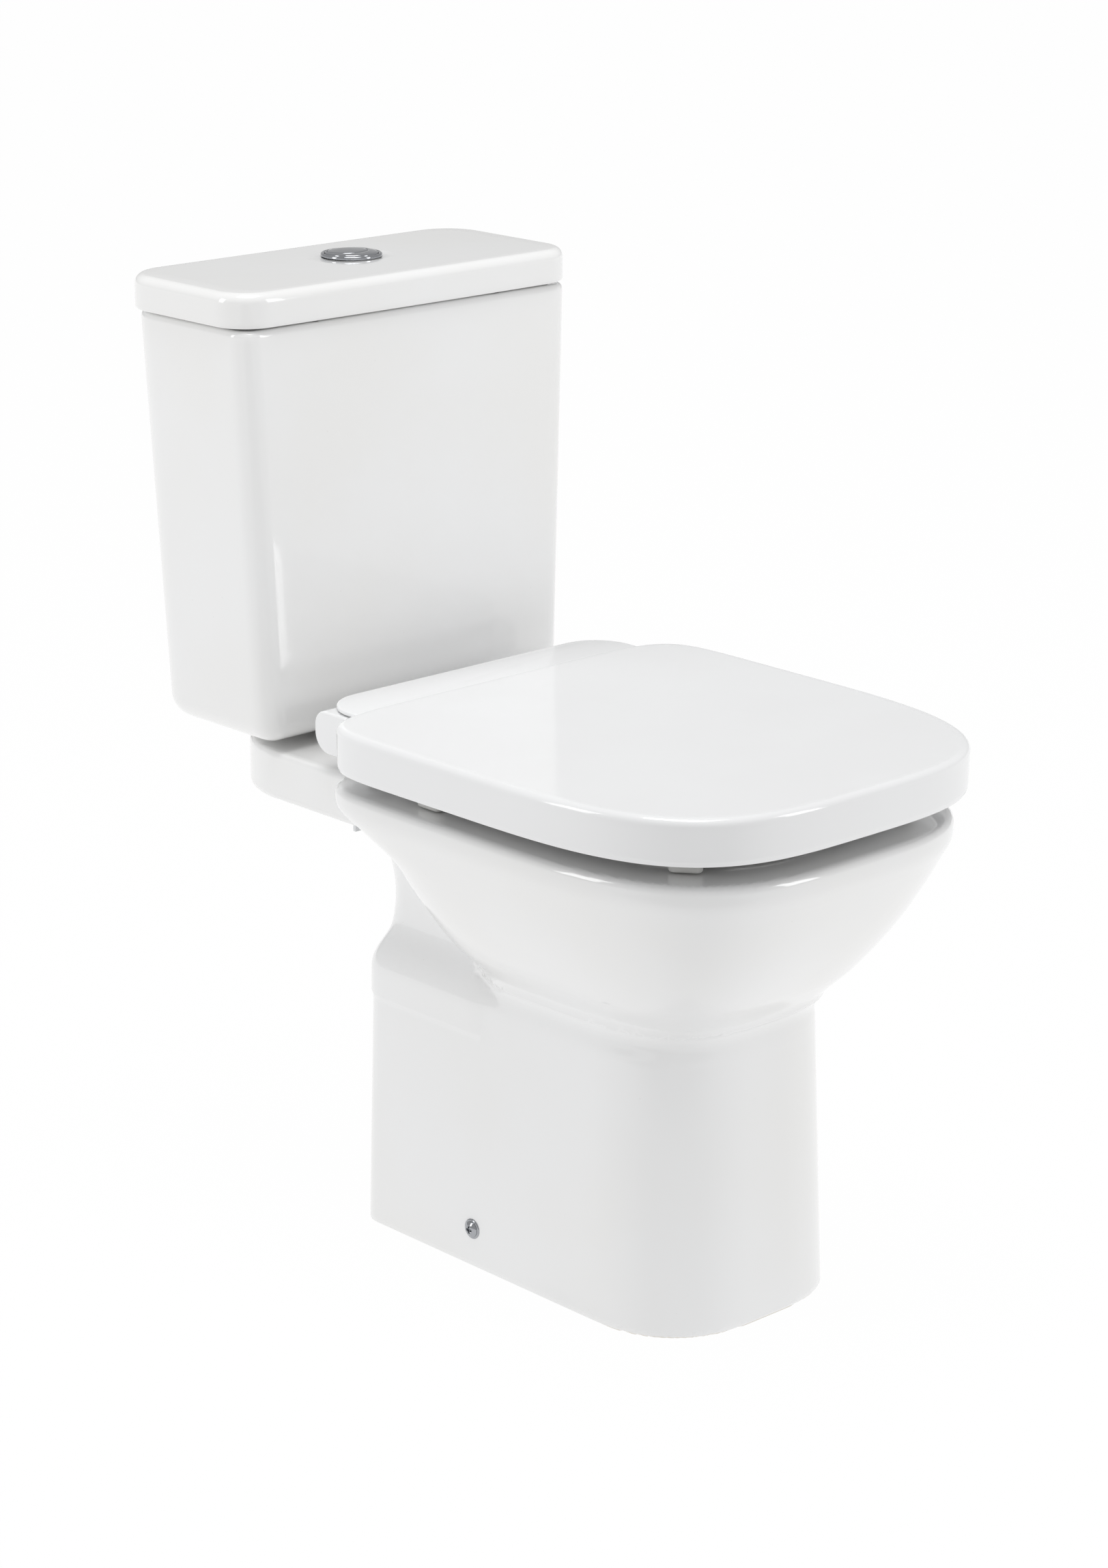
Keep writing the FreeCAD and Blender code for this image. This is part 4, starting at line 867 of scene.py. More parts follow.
def points_seed(name: str, points: Sequence[Sequence[float]], turns: Sequence[float]) -> bpy.types.Object:
    """A hidden mesh of loose points, each with a turn about Z.

    Args:
        name: the object's name.
        points: places in millimetres.
        turns: angles in degrees.

    Returns:
        The object, which isn't linked to the scene.
    """
    mesh = bpy.data.meshes.new(name)
    mesh.from_pydata([[c * MM for c in point] for point in points], [], [])
    turn = mesh.attributes.new("turn", "FLOAT", "POINT")
    turn.data.foreach_set("value", [math.radians(angle) for angle in turns])
    return bpy.data.objects.new(name, mesh)


def copies(
    tree: CopiesTree,
    name: str,
    pattern: bpy.types.Object,
    places: Sequence[tuple[float, float, float, float]],
    material: bpy.types.Material,
) -> bpy.types.Object:
    """Copies of a pattern at (x, y, z, turn), as one plain mesh; the pattern is removed."""
    seed = points_seed(name + "_points", [spot[:3] for spot in places], [spot[3] for spot in places])
    piece = tree.grow(name, seed, {"Pattern": pattern, "Material": material})
    bpy.data.objects.remove(pattern)
    bpy.data.objects.remove(seed)
    return piece


# ------------------------------------------------------------------------------ sub-assemblies
class Part:
    """What every sub-assembly shares."""

    def __init__(self, finishes: Finishes) -> None:
        """Keep the finishes."""
        self.finishes = finishes

    def dress(
        self, piece: bpy.types.Object, slot: Slot, body: Body, replaces: Sequence[str] = ()
    ) -> bpy.types.Object:
        """Give a piece its finish, its body and the nodes that it stands for.

        Args:
            piece: the finished object.
            slot: its finish.
            body: the body that it rides on.
            replaces: the frame's nodes that it stands for.

        Returns:
            The same piece.
        """
        piece.data.materials.clear()
        piece.data.materials.append(self.finishes[slot])
        if replaces:
            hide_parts(*replaces)
        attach(piece, body.value)
        LOG.info("%s: %d faces on %s", piece.name, len(piece.data.polygons), body.value)
        return piece


@dataclass(frozen=True)
class PanSizes:
    """Sizes of the china pan."""

    top: float = 404.0
    rim_half_width: float = 183.0
    rim_front: float = 328.0
    rim_rear: float = 98.0
    widest: float = 80.0
    rim_edge: float = 7.0
    waist_height: float = 235.0
    waist_half_width: float = 99.5
    waist_front: float = 230.5
    waist_rear: float = 15.0
    foot_half_width: float = 108.5
    foot_front: float = 242.0
    foot_rear: float = 130.0
    foot_top: float = 248.0
    foot_flare: float = 5.0
    ledge_low: float = 362.0
    ledge_half_width: float = 149.0
    ledge_rear: float = 246.0
    ledge_bow: float = 34.0
    wall: float = 11.0
    sump_floor: float = 122.0
    trap_radius: float = 27.0
    trap_crest: float = 232.0
    outlet_height: float = 180.0
    outlet_radius: float = 51.0
    outlet_bore: float = 43.0
    outlet_end: float = 163.0


class Pan(Part):
    """The pan: one flowing china casting."""

    def __init__(self, finishes: Finishes, sizes: PanSizes) -> None:
        """Keep the finishes and sizes."""
        super().__init__(finishes)
        self.s = sizes

    def bowl(self, x: np.ndarray, y: np.ndarray, z: np.ndarray) -> np.ndarray:
        """The bowl's outside, full at the rim and drawn in towards the pedestal."""
        s = self.s
        drop = s.top - s.waist_height
        shares = (1.0, 0.90, 0.74, 0.59, 0.45, 0.31, 0.18, 0.11, 0.0)
        heights = [s.top - share * drop for share in shares]
        inward = table(heights, (1.0, 0.92, 0.667, 0.465, 0.306, 0.172, 0.061, 0.006, 0.0), z)
        rearward = table(heights, (1.0, 0.86, 0.64, 0.56, 0.52, 0.44, 0.20, 0.06, 0.0), z)
        power = table(heights, (2.6, 2.8, 3.2, 3.6, 4.0, 4.6, 6.5, 8.0, 8.0), z)
        gap = egg_gap(
            x,
            y,
            s.rim_half_width + inward * (s.waist_half_width - s.rim_half_width),
            s.rim_front + inward * (s.waist_front - s.rim_front),
            s.rim_rear + rearward * (s.waist_rear - s.rim_rear),
            s.widest,
            3.5,
            power,
        )
        gap = gap + 1.1 * np.maximum(s.foot_top + 2.0 - z, 0.0)
        gap = round_meet(gap, z - s.top, s.rim_edge)
        return np.maximum(gap, s.waist_height - 30 - z)

    def bowl_hollow(self, x: np.ndarray, y: np.ndarray, z: np.ndarray, grow: float = 0.0) -> np.ndarray:
        """The inside of the bowl, from its mouth to the sump."""
        s = self.s
        heights = (s.sump_floor, s.top - 225, s.top - 175, s.top - 130, s.top - 80, s.top - 34, s.top + 1)
        share = table(heights, (1.0, 0.93, 0.72, 0.40, 0.10, -0.02, 0.0), z + grow)
        half_width = 128.0 + share * (36.0 - 128.0)
        front = 268.0 + share * (58.0 - 268.0)
        rear = 34.0 + share * (24.0 - 34.0)
        widest = np.minimum(s.widest, front / 2)
        gap = egg_gap(x, y, half_width + grow, front + grow, rear + grow, widest, 2.4, 2.6)
        return round_meet(gap, s.sump_floor - grow - z, 14.0)

    def foot(self, x: np.ndarray, y: np.ndarray, z: np.ndarray, inset: float = 0.0) -> np.ndarray:
        """The pedestal's plan at a height."""
        s = self.s
        share = np.clip(z / s.foot_top, 0.0, 1.0)
        lean = s.foot_flare * share + inset
        return rounded_gap(
            x,
            y,
            s.foot_half_width - lean,
            -s.foot_front + 2 * s.foot_flare * share + inset,
            s.foot_rear - 0.5 * s.foot_flare * share - inset,
            92.0 - inset,
            24.0 - inset,
            2.4,
        )

    def neck(self, x: np.ndarray, y: np.ndarray, z: np.ndarray) -> np.ndarray:
        """The trap housing, waisted between the pedestal and the ledge."""
        low = self.s.foot_top - 26
        high = self.s.ledge_low + 2
        waist = low + 0.42 * (high - low)
        upper = 0.45 * waist + 0.55 * high
        heights = (low, 0.5 * (low + waist), waist, upper, high)
        wide = table(heights, (18.0, 5.4, 0.0, 4.9, 14.0), z)
        back = table(heights, (0.0, 0.0, 0.0, 7.0, 22.4), z)
        gap = rounded_gap(x, y, 81.0 + wide, -30.0, 128.5 + back, 28.0, 28.0)
        return np.maximum(gap, np.maximum(low - 12 - z, z - high - 12))

    def ledge(self, x: np.ndarray, y: np.ndarray, z: np.ndarray) -> np.ndarray:
        """The shelf that carries the cistern, bowed at its rear."""
        s = self.s
        bow_end = s.ledge_half_width - 27.0
        radius = (bow_end**2 + s.ledge_bow**2) / (2 * s.ledge_bow)
        back = np.hypot(x, y - (s.ledge_rear + s.ledge_bow - radius)) - radius
        plan = round_meet(np.abs(x) - s.ledge_half_width, back, 34.0)
        plan = np.maximum(plan, 20.0 - y)
        middle = 0.5 * (s.top + s.ledge_low)
        return round_meet(plan, np.abs(z - middle) - (s.top - middle), 5.5)

    def trap(self, x: np.ndarray, y: np.ndarray, z: np.ndarray, radius: float) -> np.ndarray:
        """The trap's bore: sump, crest and fall to the outlet."""
        s = self.s
        route = [
            (0.0, -12.0, s.sump_floor + s.trap_radius + 4),
            (0.0, 26.0, s.sump_floor + s.trap_radius + 18),
            (0.0, 52.0, s.trap_crest),
            (0.0, 84.0, s.trap_crest),
            (0.0, 96.0, s.outlet_height + 8),
            (0.0, s.foot_rear, s.outlet_height),
        ]
        gap = rod_gap(x, y, z, route[0], route[1], radius)
        for start, end in zip(route[1:], route[2:]):
            gap = np.minimum(gap, rod_gap(x, y, z, start, end, radius))
        return gap

    def outside(self, x: np.ndarray, y: np.ndarray, z: np.ndarray) -> np.ndarray:
        """The whole outer skin."""
        s = self.s
        foot = round_meet(self.foot(x, y, z), z - s.foot_top, 24.0)
        neck = self.neck(x, y, z)
        skin = round_union(foot, neck, 14.0)
        skin = round_union(skin, self.ledge(x, y, z), 7.0)
        bowl = self.bowl(x, y, z)
        soft = table((0.0, 200.0, 300.0, 360.0, 404.0), (38.0, 38.0, 12.0, 4.0, 3.0), z)
        front = np.clip((20.0 - y) / 60.0, 0.0, 1.0)
        fillet = 5.0 + front * (soft - 5.0)
        skin = round_meet(round_union(skin, bowl, fillet), z - s.top, 3.0)
        spigot_plan = np.hypot(x, z - s.outlet_height) - s.outlet_radius
        spigot = round_meet(spigot_plan, np.abs(y - 135.0) - (s.outlet_end - 135.0), 2.0)
        skin = round_union(skin, spigot, 5.0)
        return round_meet(skin, -z, 3.0)

    def solid(self, x: np.ndarray, y: np.ndarray, z: np.ndarray) -> np.ndarray:
        """The casting: the outer skin less the bowl, the trap, the open foot and the outlet."""
        s = self.s
        skin = self.outside(x, y, z)
        hollow = self.bowl_hollow(x, y, z)
        mouth = round_meet(skin, -hollow, 9.0)
        trap = self.trap(x, y, z, s.trap_radius)
        under = round_meet(self.foot(x, y, z, s.wall), z - (s.foot_top - 2 * s.wall), 12.0)
        liner = self.bowl_hollow(x, y, z, s.wall)
        duct = self.trap(x, y, z, s.trap_radius + s.wall)
        spigot = np.hypot(x, z - s.outlet_height) - s.outlet_radius
        spigot = np.maximum(spigot, 108.0 - y)
        under = np.maximum(under, -np.minimum(np.minimum(liner, duct), spigot))
        bore = np.maximum(np.hypot(x, z - s.outlet_height) - s.outlet_bore, 118.0 - y)
        return np.maximum(np.maximum(mouth, -trap), np.maximum(-under, -bore))

    def build(self) -> None:
        """Mesh the casting and dress it."""
        low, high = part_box("pan")
        margin = 6.0
        reach = [(c / MM) for c in (*low, *high)]
        casting = Casting(
            self.solid,
            [reach[0] - margin, reach[1] - margin, reach[2] - margin],
            [reach[3] + margin, reach[4] + margin, reach[5] + margin],
            4.2,
        )
        self.dress(casting.piece("china_pan"), Slot.CHINA, Body.CHINA, ["pan"])


@dataclass(frozen=True)
class CisternSizes:
    """Sizes of the china tank and its lid."""

    foot: float = 411.0
    top: float = 750.0
    top_half_width: float = 177.0
    foot_half_width: float = 163.0
    rear: float = 333.0
    foot_rear: float = 321.0
    top_depth: float = 156.0
    foot_depth: float = 150.0
    front_corner: float = 20.0
    rear_corner: float = 38.0
    foot_edge: float = 18.0
    top_edge: float = 5.0
    wall: float = 10.0
    lid_low: float = 752.0
    lid_top: float = 780.0
    lid_half_width: float = 182.0
    lid_front: float = 175.0
    lid_rear: float = 335.0
    lid_front_corner: float = 32.0
    lid_rear_corner: float = 40.0
    lid_edge: float = 8.0
    lid_bow: float = 2.0
    button_x: float = 10.0
    button_y: float = 266.0
    button_hole: float = 24.6
    frame_pad_radius: float = 4.0
    pad_radius: float = 2.2
    pad_shift: float = 2.2


class Cistern(Part):
    """The china tank and lid, with the pads between them."""

    def __init__(self, finishes: Finishes, sizes: CisternSizes, tree: CopiesTree) -> None:
        """Keep the finishes, sizes and the tree that sets the pads."""
        super().__init__(finishes)
        self.s = sizes
        self.tree = tree

    def tank_ring(self, inset: float, z: float) -> np.ndarray:
        """The tank's outline at a height, leaning out towards its top."""
        s = self.s
        share = min(max((z - s.foot) / (s.top - s.foot), 0.0), 1.0)
        depth = s.foot_depth + share * (s.top_depth - s.foot_depth)
        rear = s.foot_rear + share * (s.rear - s.foot_rear)
        half_width = s.foot_half_width + share * (s.top_half_width - s.foot_half_width)
        plan = RoundedPlan(half_width, rear - depth, rear, s.front_corner, s.rear_corner)
        return plan.ring(inset, z)

    def tank(self) -> bpy.types.Object:
        """The open tank with a soft foot, a rounded brim and its inner walls."""
        s = self.s
        edge = s.foot_edge
        rings = [self.tank_ring(inset, s.foot) for inset in (74.0, 60.0, 40.0, 26.0)]
        rings += [self.tank_ring(edge - out, s.foot + edge - down) for out, down in bend(edge, 10)]
        rings += [self.tank_ring(0.0, z) for z in np.linspace(s.foot + edge + 6, s.top - s.top_edge - 4, 26)]
        brim = s.top_edge
        rings += [self.tank_ring(brim - out, s.top - brim + up) for out, up in bend(brim)[::-1]]
        rings += [self.tank_ring(s.wall - 1.5, s.top), self.tank_ring(s.wall, s.top - 1.5)]
        rings += [self.tank_ring(s.wall, z) for z in np.linspace(s.top - 20, s.foot + s.wall + 20, 8)]
        rings += [self.tank_ring(s.wall + step, s.foot + s.wall + up) for step, up in ((1, 7), (4, 2), (9, 0), (60, 0))]
        return new_piece("china_cistern", *loft(rings))

    def lid(self) -> bpy.types.Object:
        """The lid: a bowed front, a soft top edge, the button's hole and a hollow with a lip below."""
        s = self.s
        plan = RoundedPlan(
            s.lid_half_width, s.lid_front, s.lid_rear, s.lid_front_corner, s.lid_rear_corner, s.lid_bow
        )
        lip = RoundedPlan(
            s.top_half_width - 12.0, s.rear - s.top_depth + 12.0, s.rear - 12.0, 10.0, s.rear_corner - 12.0
        )
        outline = plan.ring(0.0, s.lid_low)
        angle = np.arctan2(outline[:, 1] - s.button_y, outline[:, 0] - s.button_x)

        def round_hole(radius: float, z: float) -> np.ndarray:
            """A ring about the button whose points face the outline's."""
            circle = [s.button_x + radius * np.cos(angle), s.button_y + radius * np.sin(angle)]
            return np.stack([*circle, np.full(len(angle), z)], 1)

        def between(first: np.ndarray, second: np.ndarray, share: float) -> np.ndarray:
            """A ring part of the way from one ring to another."""
            return first + share * (second - first)

        ceiling = s.lid_top - 9.0
        inner = lip.ring(9.0, ceiling)
        hole_top = round_hole(s.button_hole, s.lid_top)
        edge = s.lid_edge
        rings = [round_hole(s.button_hole, ceiling)]
        rings += [between(round_hole(s.button_hole + 12, ceiling), inner, share) for share in (0.0, 0.5, 1.0)]
        rings += [lip.ring(9.0, s.lid_low - 8.0), lip.ring(7.6, s.lid_low - 9.0), lip.ring(1.4, s.lid_low - 9.0)]
        rings += [lip.ring(0.0, s.lid_low - 7.6), lip.ring(0.0, s.lid_low)]
        rings += [plan.ring(4.0, s.lid_low), plan.ring(2.4, s.lid_low)]
        rings += [plan.ring(0.9, s.lid_low + 0.6), plan.ring(0.2, s.lid_low + 1.6), plan.ring(0.0, s.lid_low + 3.0)]
        rings += [plan.ring(0.0, z) for z in np.linspace(s.lid_low + 6, s.lid_top - edge - 1, 5)]
        rings += [plan.ring(edge - out, s.lid_top - edge + up) for out, up in bend(edge, 10)[::-1]]
        brow = rings[-1]
        rings += [between(brow, hole_top, share) for share in (0.1, 0.25, 0.45, 0.7, 0.9, 0.985)]
        rings += [round_hole(s.button_hole, s.lid_top - 0.6)]
        points, faces = loft(rings, False)
        count = len(outline)
        last = (len(rings) - 1) * count
        faces += [[last + i, last + (i + 1) % count, (i + 1) % count, i] for i in range(count)]
        return new_piece("china_cistern_lid", points, faces)

    def pads(self) -> bpy.types.Object:
        """Four small rubber pads on the tank's wall, set in from its outer edge."""
        s = self.s
        low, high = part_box("lid_pads")
        side = high.x / MM - s.frame_pad_radius
        front = low.y / MM + s.frame_pad_radius + s.pad_shift
        rear = high.y / MM - s.frame_pad_radius - s.pad_shift
        profile = puck(s.pad_radius, 0.0, (high.z - low.z) / MM, 0.4)
        pattern = new_piece("pad_pattern", *loft(lathe(profile, (0, 0, 0), 32)))
        spots = [(x, y, low.z / MM, 0.0) for x in (-side, side) for y in (front, rear)]
        return copies(self.tree, "lid_pad_dots", pattern, spots, self.finishes[Slot.RUBBER])

    def build(self) -> None:
        """Make and dress the tank, lid and pads."""
        self.dress(self.pads(), Slot.RUBBER, Body.CHINA, ["lid_pads"])
        self.dress(self.tank(), Slot.CHINA, Body.CHINA, ["cistern_tank"])
        self.dress(self.lid(), Slot.CHINA, Body.CHINA, ["cistern_lid"])


def lathe(profile: Sequence[tuple[float, float]], centre: Sequence[float], count: int = 96) -> list[np.ndarray]:
    """Rings of a turned piece.

    Args:
        profile: pairs (radius, height), from below on the axis, round the outside, to the top.
        centre: where the axis stands.
        count: points round the axis.

    Returns:
        The rings.
    """
    turn = np.linspace(0.0, 2 * math.pi, count, endpoint=False)
    x, y, z = centre
    return [
        np.stack([x + radius * np.cos(turn), y + radius * np.sin(turn), np.full(count, z + up)], 1)
        for radius, up in profile
    ]


def puck(radius: float, low: float, high: float, edge: float) -> list[tuple[float, float]]:
    """The profile of a round disc or rod with rounded edges."""
    foot = [(radius - edge + out, low + edge - down) for out, down in bend(edge, 4)]
    brow = [(radius - edge + out, high - edge + up) for out, up in bend(edge, 4)[::-1]]
    return [(0.4 * radius, low)] + foot + brow + [(0.4 * radius, high)]


@dataclass(frozen=True)
class Knuckle:
    """The D-shaped section of the hinge: flat towards the seat, full at the lower rear."""

    front: float = 80.0
    rear: float = 121.6
    low: float = 420.0
    high: float = 459.3
    upper: float = 8.0
    lower: float = 17.0
    near: float = 3.0

    def section(self, inset: float) -> np.ndarray:
        """The section in the YZ plane, drawn in by an inset."""
        corners = [
            (self.rear, self.low, self.lower, -90.0, -1, 1),
            (self.rear, self.high, self.upper, 0.0, -1, -1),
            (self.front, self.high, self.near, 90.0, 1, -1),
            (self.front, self.low, self.near, 180.0, 1, 1),
        ]
        points = []
        for y, z, corner, start, inward_y, inward_z in corners:
            radius = max(corner - inset, 0.3)
            cy = y + inward_y * (inset + radius)
            cz = z + inward_z * (inset + radius)
            for step in range(13):
                angle = math.radians(start + 90.0 * step / 12)
                points.append((cy + radius * math.cos(angle), cz + radius * math.sin(angle)))
        return np.array(points)

    def bar(self, left: float, right: float, edge: float = 2.2) -> tuple[np.ndarray, list[list[int]]]:
        """A bar of this section along X with rounded ends."""
        ends = [(left + edge - down, edge - out) for out, down in bend(edge, 5)]
        middle = [(x, 0.0) for x in np.linspace(left + edge + 0.5, right - edge - 0.5, 6)]
        tails = [(right - edge + up, edge - out) for out, up in bend(edge, 5)[::-1]]
        rings = []
        for x, inset in ends + middle + tails:
            flat = self.section(inset)
            rings.append(np.stack([np.full(len(flat), x), flat[:, 0], flat[:, 1]], 1))
        return loft(rings)


def slab(low: Sequence[float], high: Sequence[float], edge: float) -> tuple[np.ndarray, list[list[int]]]:
    """An upright block with rounded corners and edges."""
    middle = 0.5 * (low[0] + high[0])
    plan = RoundedPlan(0.5 * (high[0] - low[0]), low[1], high[1], edge + 0.5, edge + 0.5, 0.0, 6, 4)
    profile = [(edge - out, low[2] + edge - down) for out, down in bend(edge, 4)]
    profile += [(edge - out, high[2] - edge + up) for out, up in bend(edge, 4)[::-1]]
    rings = stack(plan, profile)
    for ring in rings:
        ring[:, 0] += middle
    return loft(rings)


@dataclass(frozen=True)
class SeatSizes:
    """Sizes of the seat ring, its cover and the hinge."""

    half_width: float = 196.0
    front: float = 335.0
    rear: float = 79.0
    top: float = 459.5
    skirt: float = 37.0
    wall: float = 5.0
    edge: float = 5.5
    ring_inset: float = 18.0
    ring_low: float = 416.5
    ring_high: float = 439.5
    hole_half_width: float = 112.0
    hole_front: float = 262.0
    hole_rear: float = 12.0
    post_x: float = 116.0
    post_width: float = 26.0
    post_gap: float = 0.6
    lug_end: float = 158.0
    hinge_y: float = 102.0
    foot_low: float = 404.0
    gate_high: float = 443.0
    roof_half_width: float = 155.0
    roof_rear: float = 119.5
    roof_corner: float = 38.0
    roof_depth: float = 3.6


class Seat(Part):
    """The cover, the seat ring and the hinge between them."""

    def __init__(self, finishes: Finishes, sizes: SeatSizes, tree: CopiesTree) -> None:
        """Keep the finishes, sizes and the tree that sets the buffers."""
        super().__init__(finishes)
        self.s = sizes
        self.tree = tree
        self.knuckle = Knuckle()
        self.lug = Knuckle(rear=119.5, high=455.0, upper=12.0)
        self.barrel = Knuckle(rear=117.5, high=455.4, upper=15.0)
        self.plan = EggPlan(sizes.half_width, sizes.front, sizes.rear)

    def gated(self, rings: list[np.ndarray]) -> list[np.ndarray]:
        """Lift the rear skirt where the ring's arms pass under it."""
        s = self.s
        near = s.post_x + s.post_width / 2 - 2.0
        for ring in rings:
            across = np.abs(ring[:, 0])
            gate = (ring[:, 1] > s.rear - 12.0) & (across > near) & (across < s.lug_end + 3.0)
            lift = s.gate_high + 0.35 * (ring[:, 2] - (s.top - s.skirt))
            ring[:, 2] = np.where(gate, np.maximum(ring[:, 2], np.minimum(lift, s.top - s.wall)), ring[:, 2])
        return rings

    def cover(self) -> bpy.types.Object:
        """The cover's shell with its skirt, and the middle length of the hinge."""
        s = self.s
        low = s.top - s.skirt
        ceiling = s.top - s.wall
        profile = [(s.wall + 4, ceiling), (s.wall + 1.2, ceiling - 1.0), (s.wall, ceiling - 4.0)]
        profile += [(s.wall, z) for z in np.linspace(ceiling - 8, low + 3, 5)]
        profile += [(s.wall, low + 0.8), (s.wall - 0.8, low), (2.6, low), (1.7, low + 0.4), (1.3, low + 1.3)]
        profile += [(1.3, low + 2.4), (0.7, low + 3.2)]
        rise = np.linspace(low + 5, s.top - s.edge - 1, 7)
        profile += [(0.6 * (1 - (z - low) / s.skirt), z) for z in rise]
        profile += [(s.edge - out, s.top - s.edge + up) for out, up in bend(s.edge, 8)[::-1]]
        rings = self.gated(stack(self.plan, profile))
        middle = np.array([0.0, 0.5 * (s.rear - s.front), 0.0])
        shares = (0.98, 0.93, 0.85, 0.7, 0.5, 0.3, 0.12, 0.02)
        for share in shares:
            shrink = np.array([share, share, 1.0])
            rings.append((rings[-1 - shares.index(share)] - middle) * shrink + middle)
            rings.insert(0, (rings[shares.index(share)] - middle) * shrink + middle)
        half = s.post_x - s.post_width / 2 - s.post_gap
        bridge = slab((-half, s.rear - 8.0, s.top - 11.0), (half, s.rear + 8.0, s.top - 0.4), 2.0)
        parts = [loft(rings), self.knuckle.bar(-half, half), bridge, self.roof()]
        return new_piece("seat_cover_shell", *joined(parts))

    def roof(self) -> tuple[np.ndarray, list[list[int]]]:
        """The thin plate that carries the cover's top back over the hinge."""
        s = self.s
        plan = RoundedPlan(s.roof_half_width, s.rear - 10.0, s.roof_rear, 3.0, s.roof_corner, 0.0, 12, 6)
        edge = 1.4
        low, high = s.top - s.roof_depth, s.top - 0.1
        profile = [(edge - out, low + edge - down) for out, down in bend(edge, 4)]
        profile += [(edge - out, high - edge + up) for out, up in bend(edge, 4)[::-1]]
        return loft(stack(plan, profile))

    def ring(self) -> bpy.types.Object:
        """The seat ring, crowned on top and rolled into its opening, with its two hinge lugs."""
        s = self.s
        outer = EggPlan(s.half_width - s.ring_inset, s.front - s.ring_inset, s.rear - s.ring_inset)
        hole = EggPlan(s.hole_half_width, s.hole_front, s.hole_rear, 80.0, 2.5, 2.5)
        edge = 4.0
        rings = [outer.ring(edge - out, s.ring_low + edge - down) for out, down in bend(edge, 5)]
        rings += [outer.ring(0.0, z) for z in (s.ring_low + 8, s.ring_high - 9)]
        rings += [outer.ring(5.0 - out, s.ring_high - 5.0 + up) for out, up in bend(5.0, 6)[::-1]]
        brow = outer.ring(5.0, s.ring_high)
        lip = hole.ring(-9.0, s.ring_high)
        for share in (0.12, 0.25, 0.4, 0.55, 0.7, 0.82, 0.92, 1.0):
            row = brow + share * (lip - brow)
            row[:, 2] = s.ring_high - 2.6 * share**3
            rings.append(row)
        for out, up in bend(9.0, 8)[1:]:
            rings.append(hole.ring(-9.0 + out, s.ring_high - 11.6 + up))
        rings += [hole.ring(0.0, s.ring_low + 7), hole.ring(0.0, s.ring_low + 3)]
        rings += [hole.ring(-0.9, s.ring_low + 0.9), hole.ring(-3.0, s.ring_low)]
        floor = rings[-1]
        rings += [floor + share * (rings[0] - floor) for share in (0.25, 0.5, 0.75)]
        points, faces = loft(rings, False)
        count = len(floor)
        last = (len(rings) - 1) * count
        faces += [[last + i, last + (i + 1) % count, (i + 1) % count, i] for i in range(count)]
        parts = [(points, faces)]
        near = s.post_x + s.post_width / 2 + s.post_gap
        for side in (-1, 1):
            left, right = sorted((side * near, side * s.lug_end))
            parts.append(self.lug.bar(left, right))
            arm_low = s.ring_low + 5.0
            parts.append(slab((left, s.rear - 20.0, arm_low), (right, s.rear + 8.0, s.ring_high - 0.6), 2.4))
        return new_piece("seat_ring_moulding", *joined(parts))

    def posts(self) -> bpy.types.Object:
        """The two fixed hinge barrels with their stems and feet."""
        s = self.s
        parts = []
        for side in (-1, 1):
            left = side * s.post_x - s.post_width / 2
            parts.append(self.barrel.bar(left, left + s.post_width, 1.4))
            stem_low = (left + 2.0, s.hinge_y - 12.0, s.foot_low + 1.5)
            parts.append(slab(stem_low, (left + s.post_width - 2.0, s.hinge_y + 12.0, 439.0), 3.0))
            foot = puck(15.0, 0.0, 4.0, 1.4)
            parts.append(loft(lathe(foot, (side * s.post_x, s.hinge_y, s.foot_low), 64)))
        return new_piece("seat_hinge_posts", *joined(parts))

    def ring_buffers(self) -> bpy.types.Object:
        """Four soft oblong buffers under the ring."""
        low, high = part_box("ring_buffers")
        z_low, z_high = low.z / MM, high.z / MM
        height = z_high - z_low
        plan = RoundedPlan(5.5, -13.0, 13.0, 5.0, 5.0, 0.0, 8, 6)
        profile = [(2.4 - out, 2.4 - down) for out, down in bend(2.4, 4)] + [(0.0, height - 3.0), (0.5, height)]
        pattern = new_piece("buffer_pattern", *loft(stack(plan, profile)))
        places = [(-157.0, -20.0, z_low, 0.0), (157.0, -20.0, z_low, 0.0)]
        places += [(-121.0, -262.0, z_low, 38.0), (121.0, -262.0, z_low, -38.0)]
        return copies(self.tree, "ring_buffer_pads", pattern, places, self.finishes[Slot.BUFFER])

    def cover_buffers(self) -> bpy.types.Object:
        """Two round buffers between the ring and the cover."""
        low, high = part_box("cover_buffers")
        height = (high.z - low.z) / MM
        pattern = new_piece("dot_pattern", *loft(lathe(puck(6.0, 0.0, height, 1.6), (0, 0, 0), 48)))
        spots = [(side * 150.0, -80.0, low.z / MM, 0.0) for side in (-1, 1)]
        return copies(self.tree, "cover_buffer_dots", pattern, spots, self.finishes[Slot.BUFFER])

    def build(self) -> None:
        """Make and dress every seat piece."""
        self.dress(self.cover(), Slot.SEAT, Body.COVER, ["seat_cover"])
        self.dress(self.cover_buffers(), Slot.BUFFER, Body.COVER, ["cover_buffers"])
        self.dress(self.ring(), Slot.SEAT, Body.RING, ["seat_ring"])
        self.dress(self.ring_buffers(), Slot.BUFFER, Body.RING, ["ring_buffers"])
        self.dress(self.posts(), Slot.SEAT, Body.CHINA, ["hinge_post_left", "hinge_post_right"])


@dataclass(frozen=True)
class ButtonSizes:
    """Sizes of the dual flush button."""

    x: float = 10.0
    y: float = 266.0
    lid_top: float = 780.0
    bezel_radius: float = 25.5
    sleeve_radius: float = 24.0
    bezel_wall: float = 1.6
    bezel_rise: float = 3.0
    bezel_length: float = 44.0
    disc_radius: float = 22.0
    rise: float = 6.0
    dome: float = 2.4
    depth: float = 11.0
    half_radius: float = 16.5
    half_offset: float = 2.475
    gap: float = 0.4


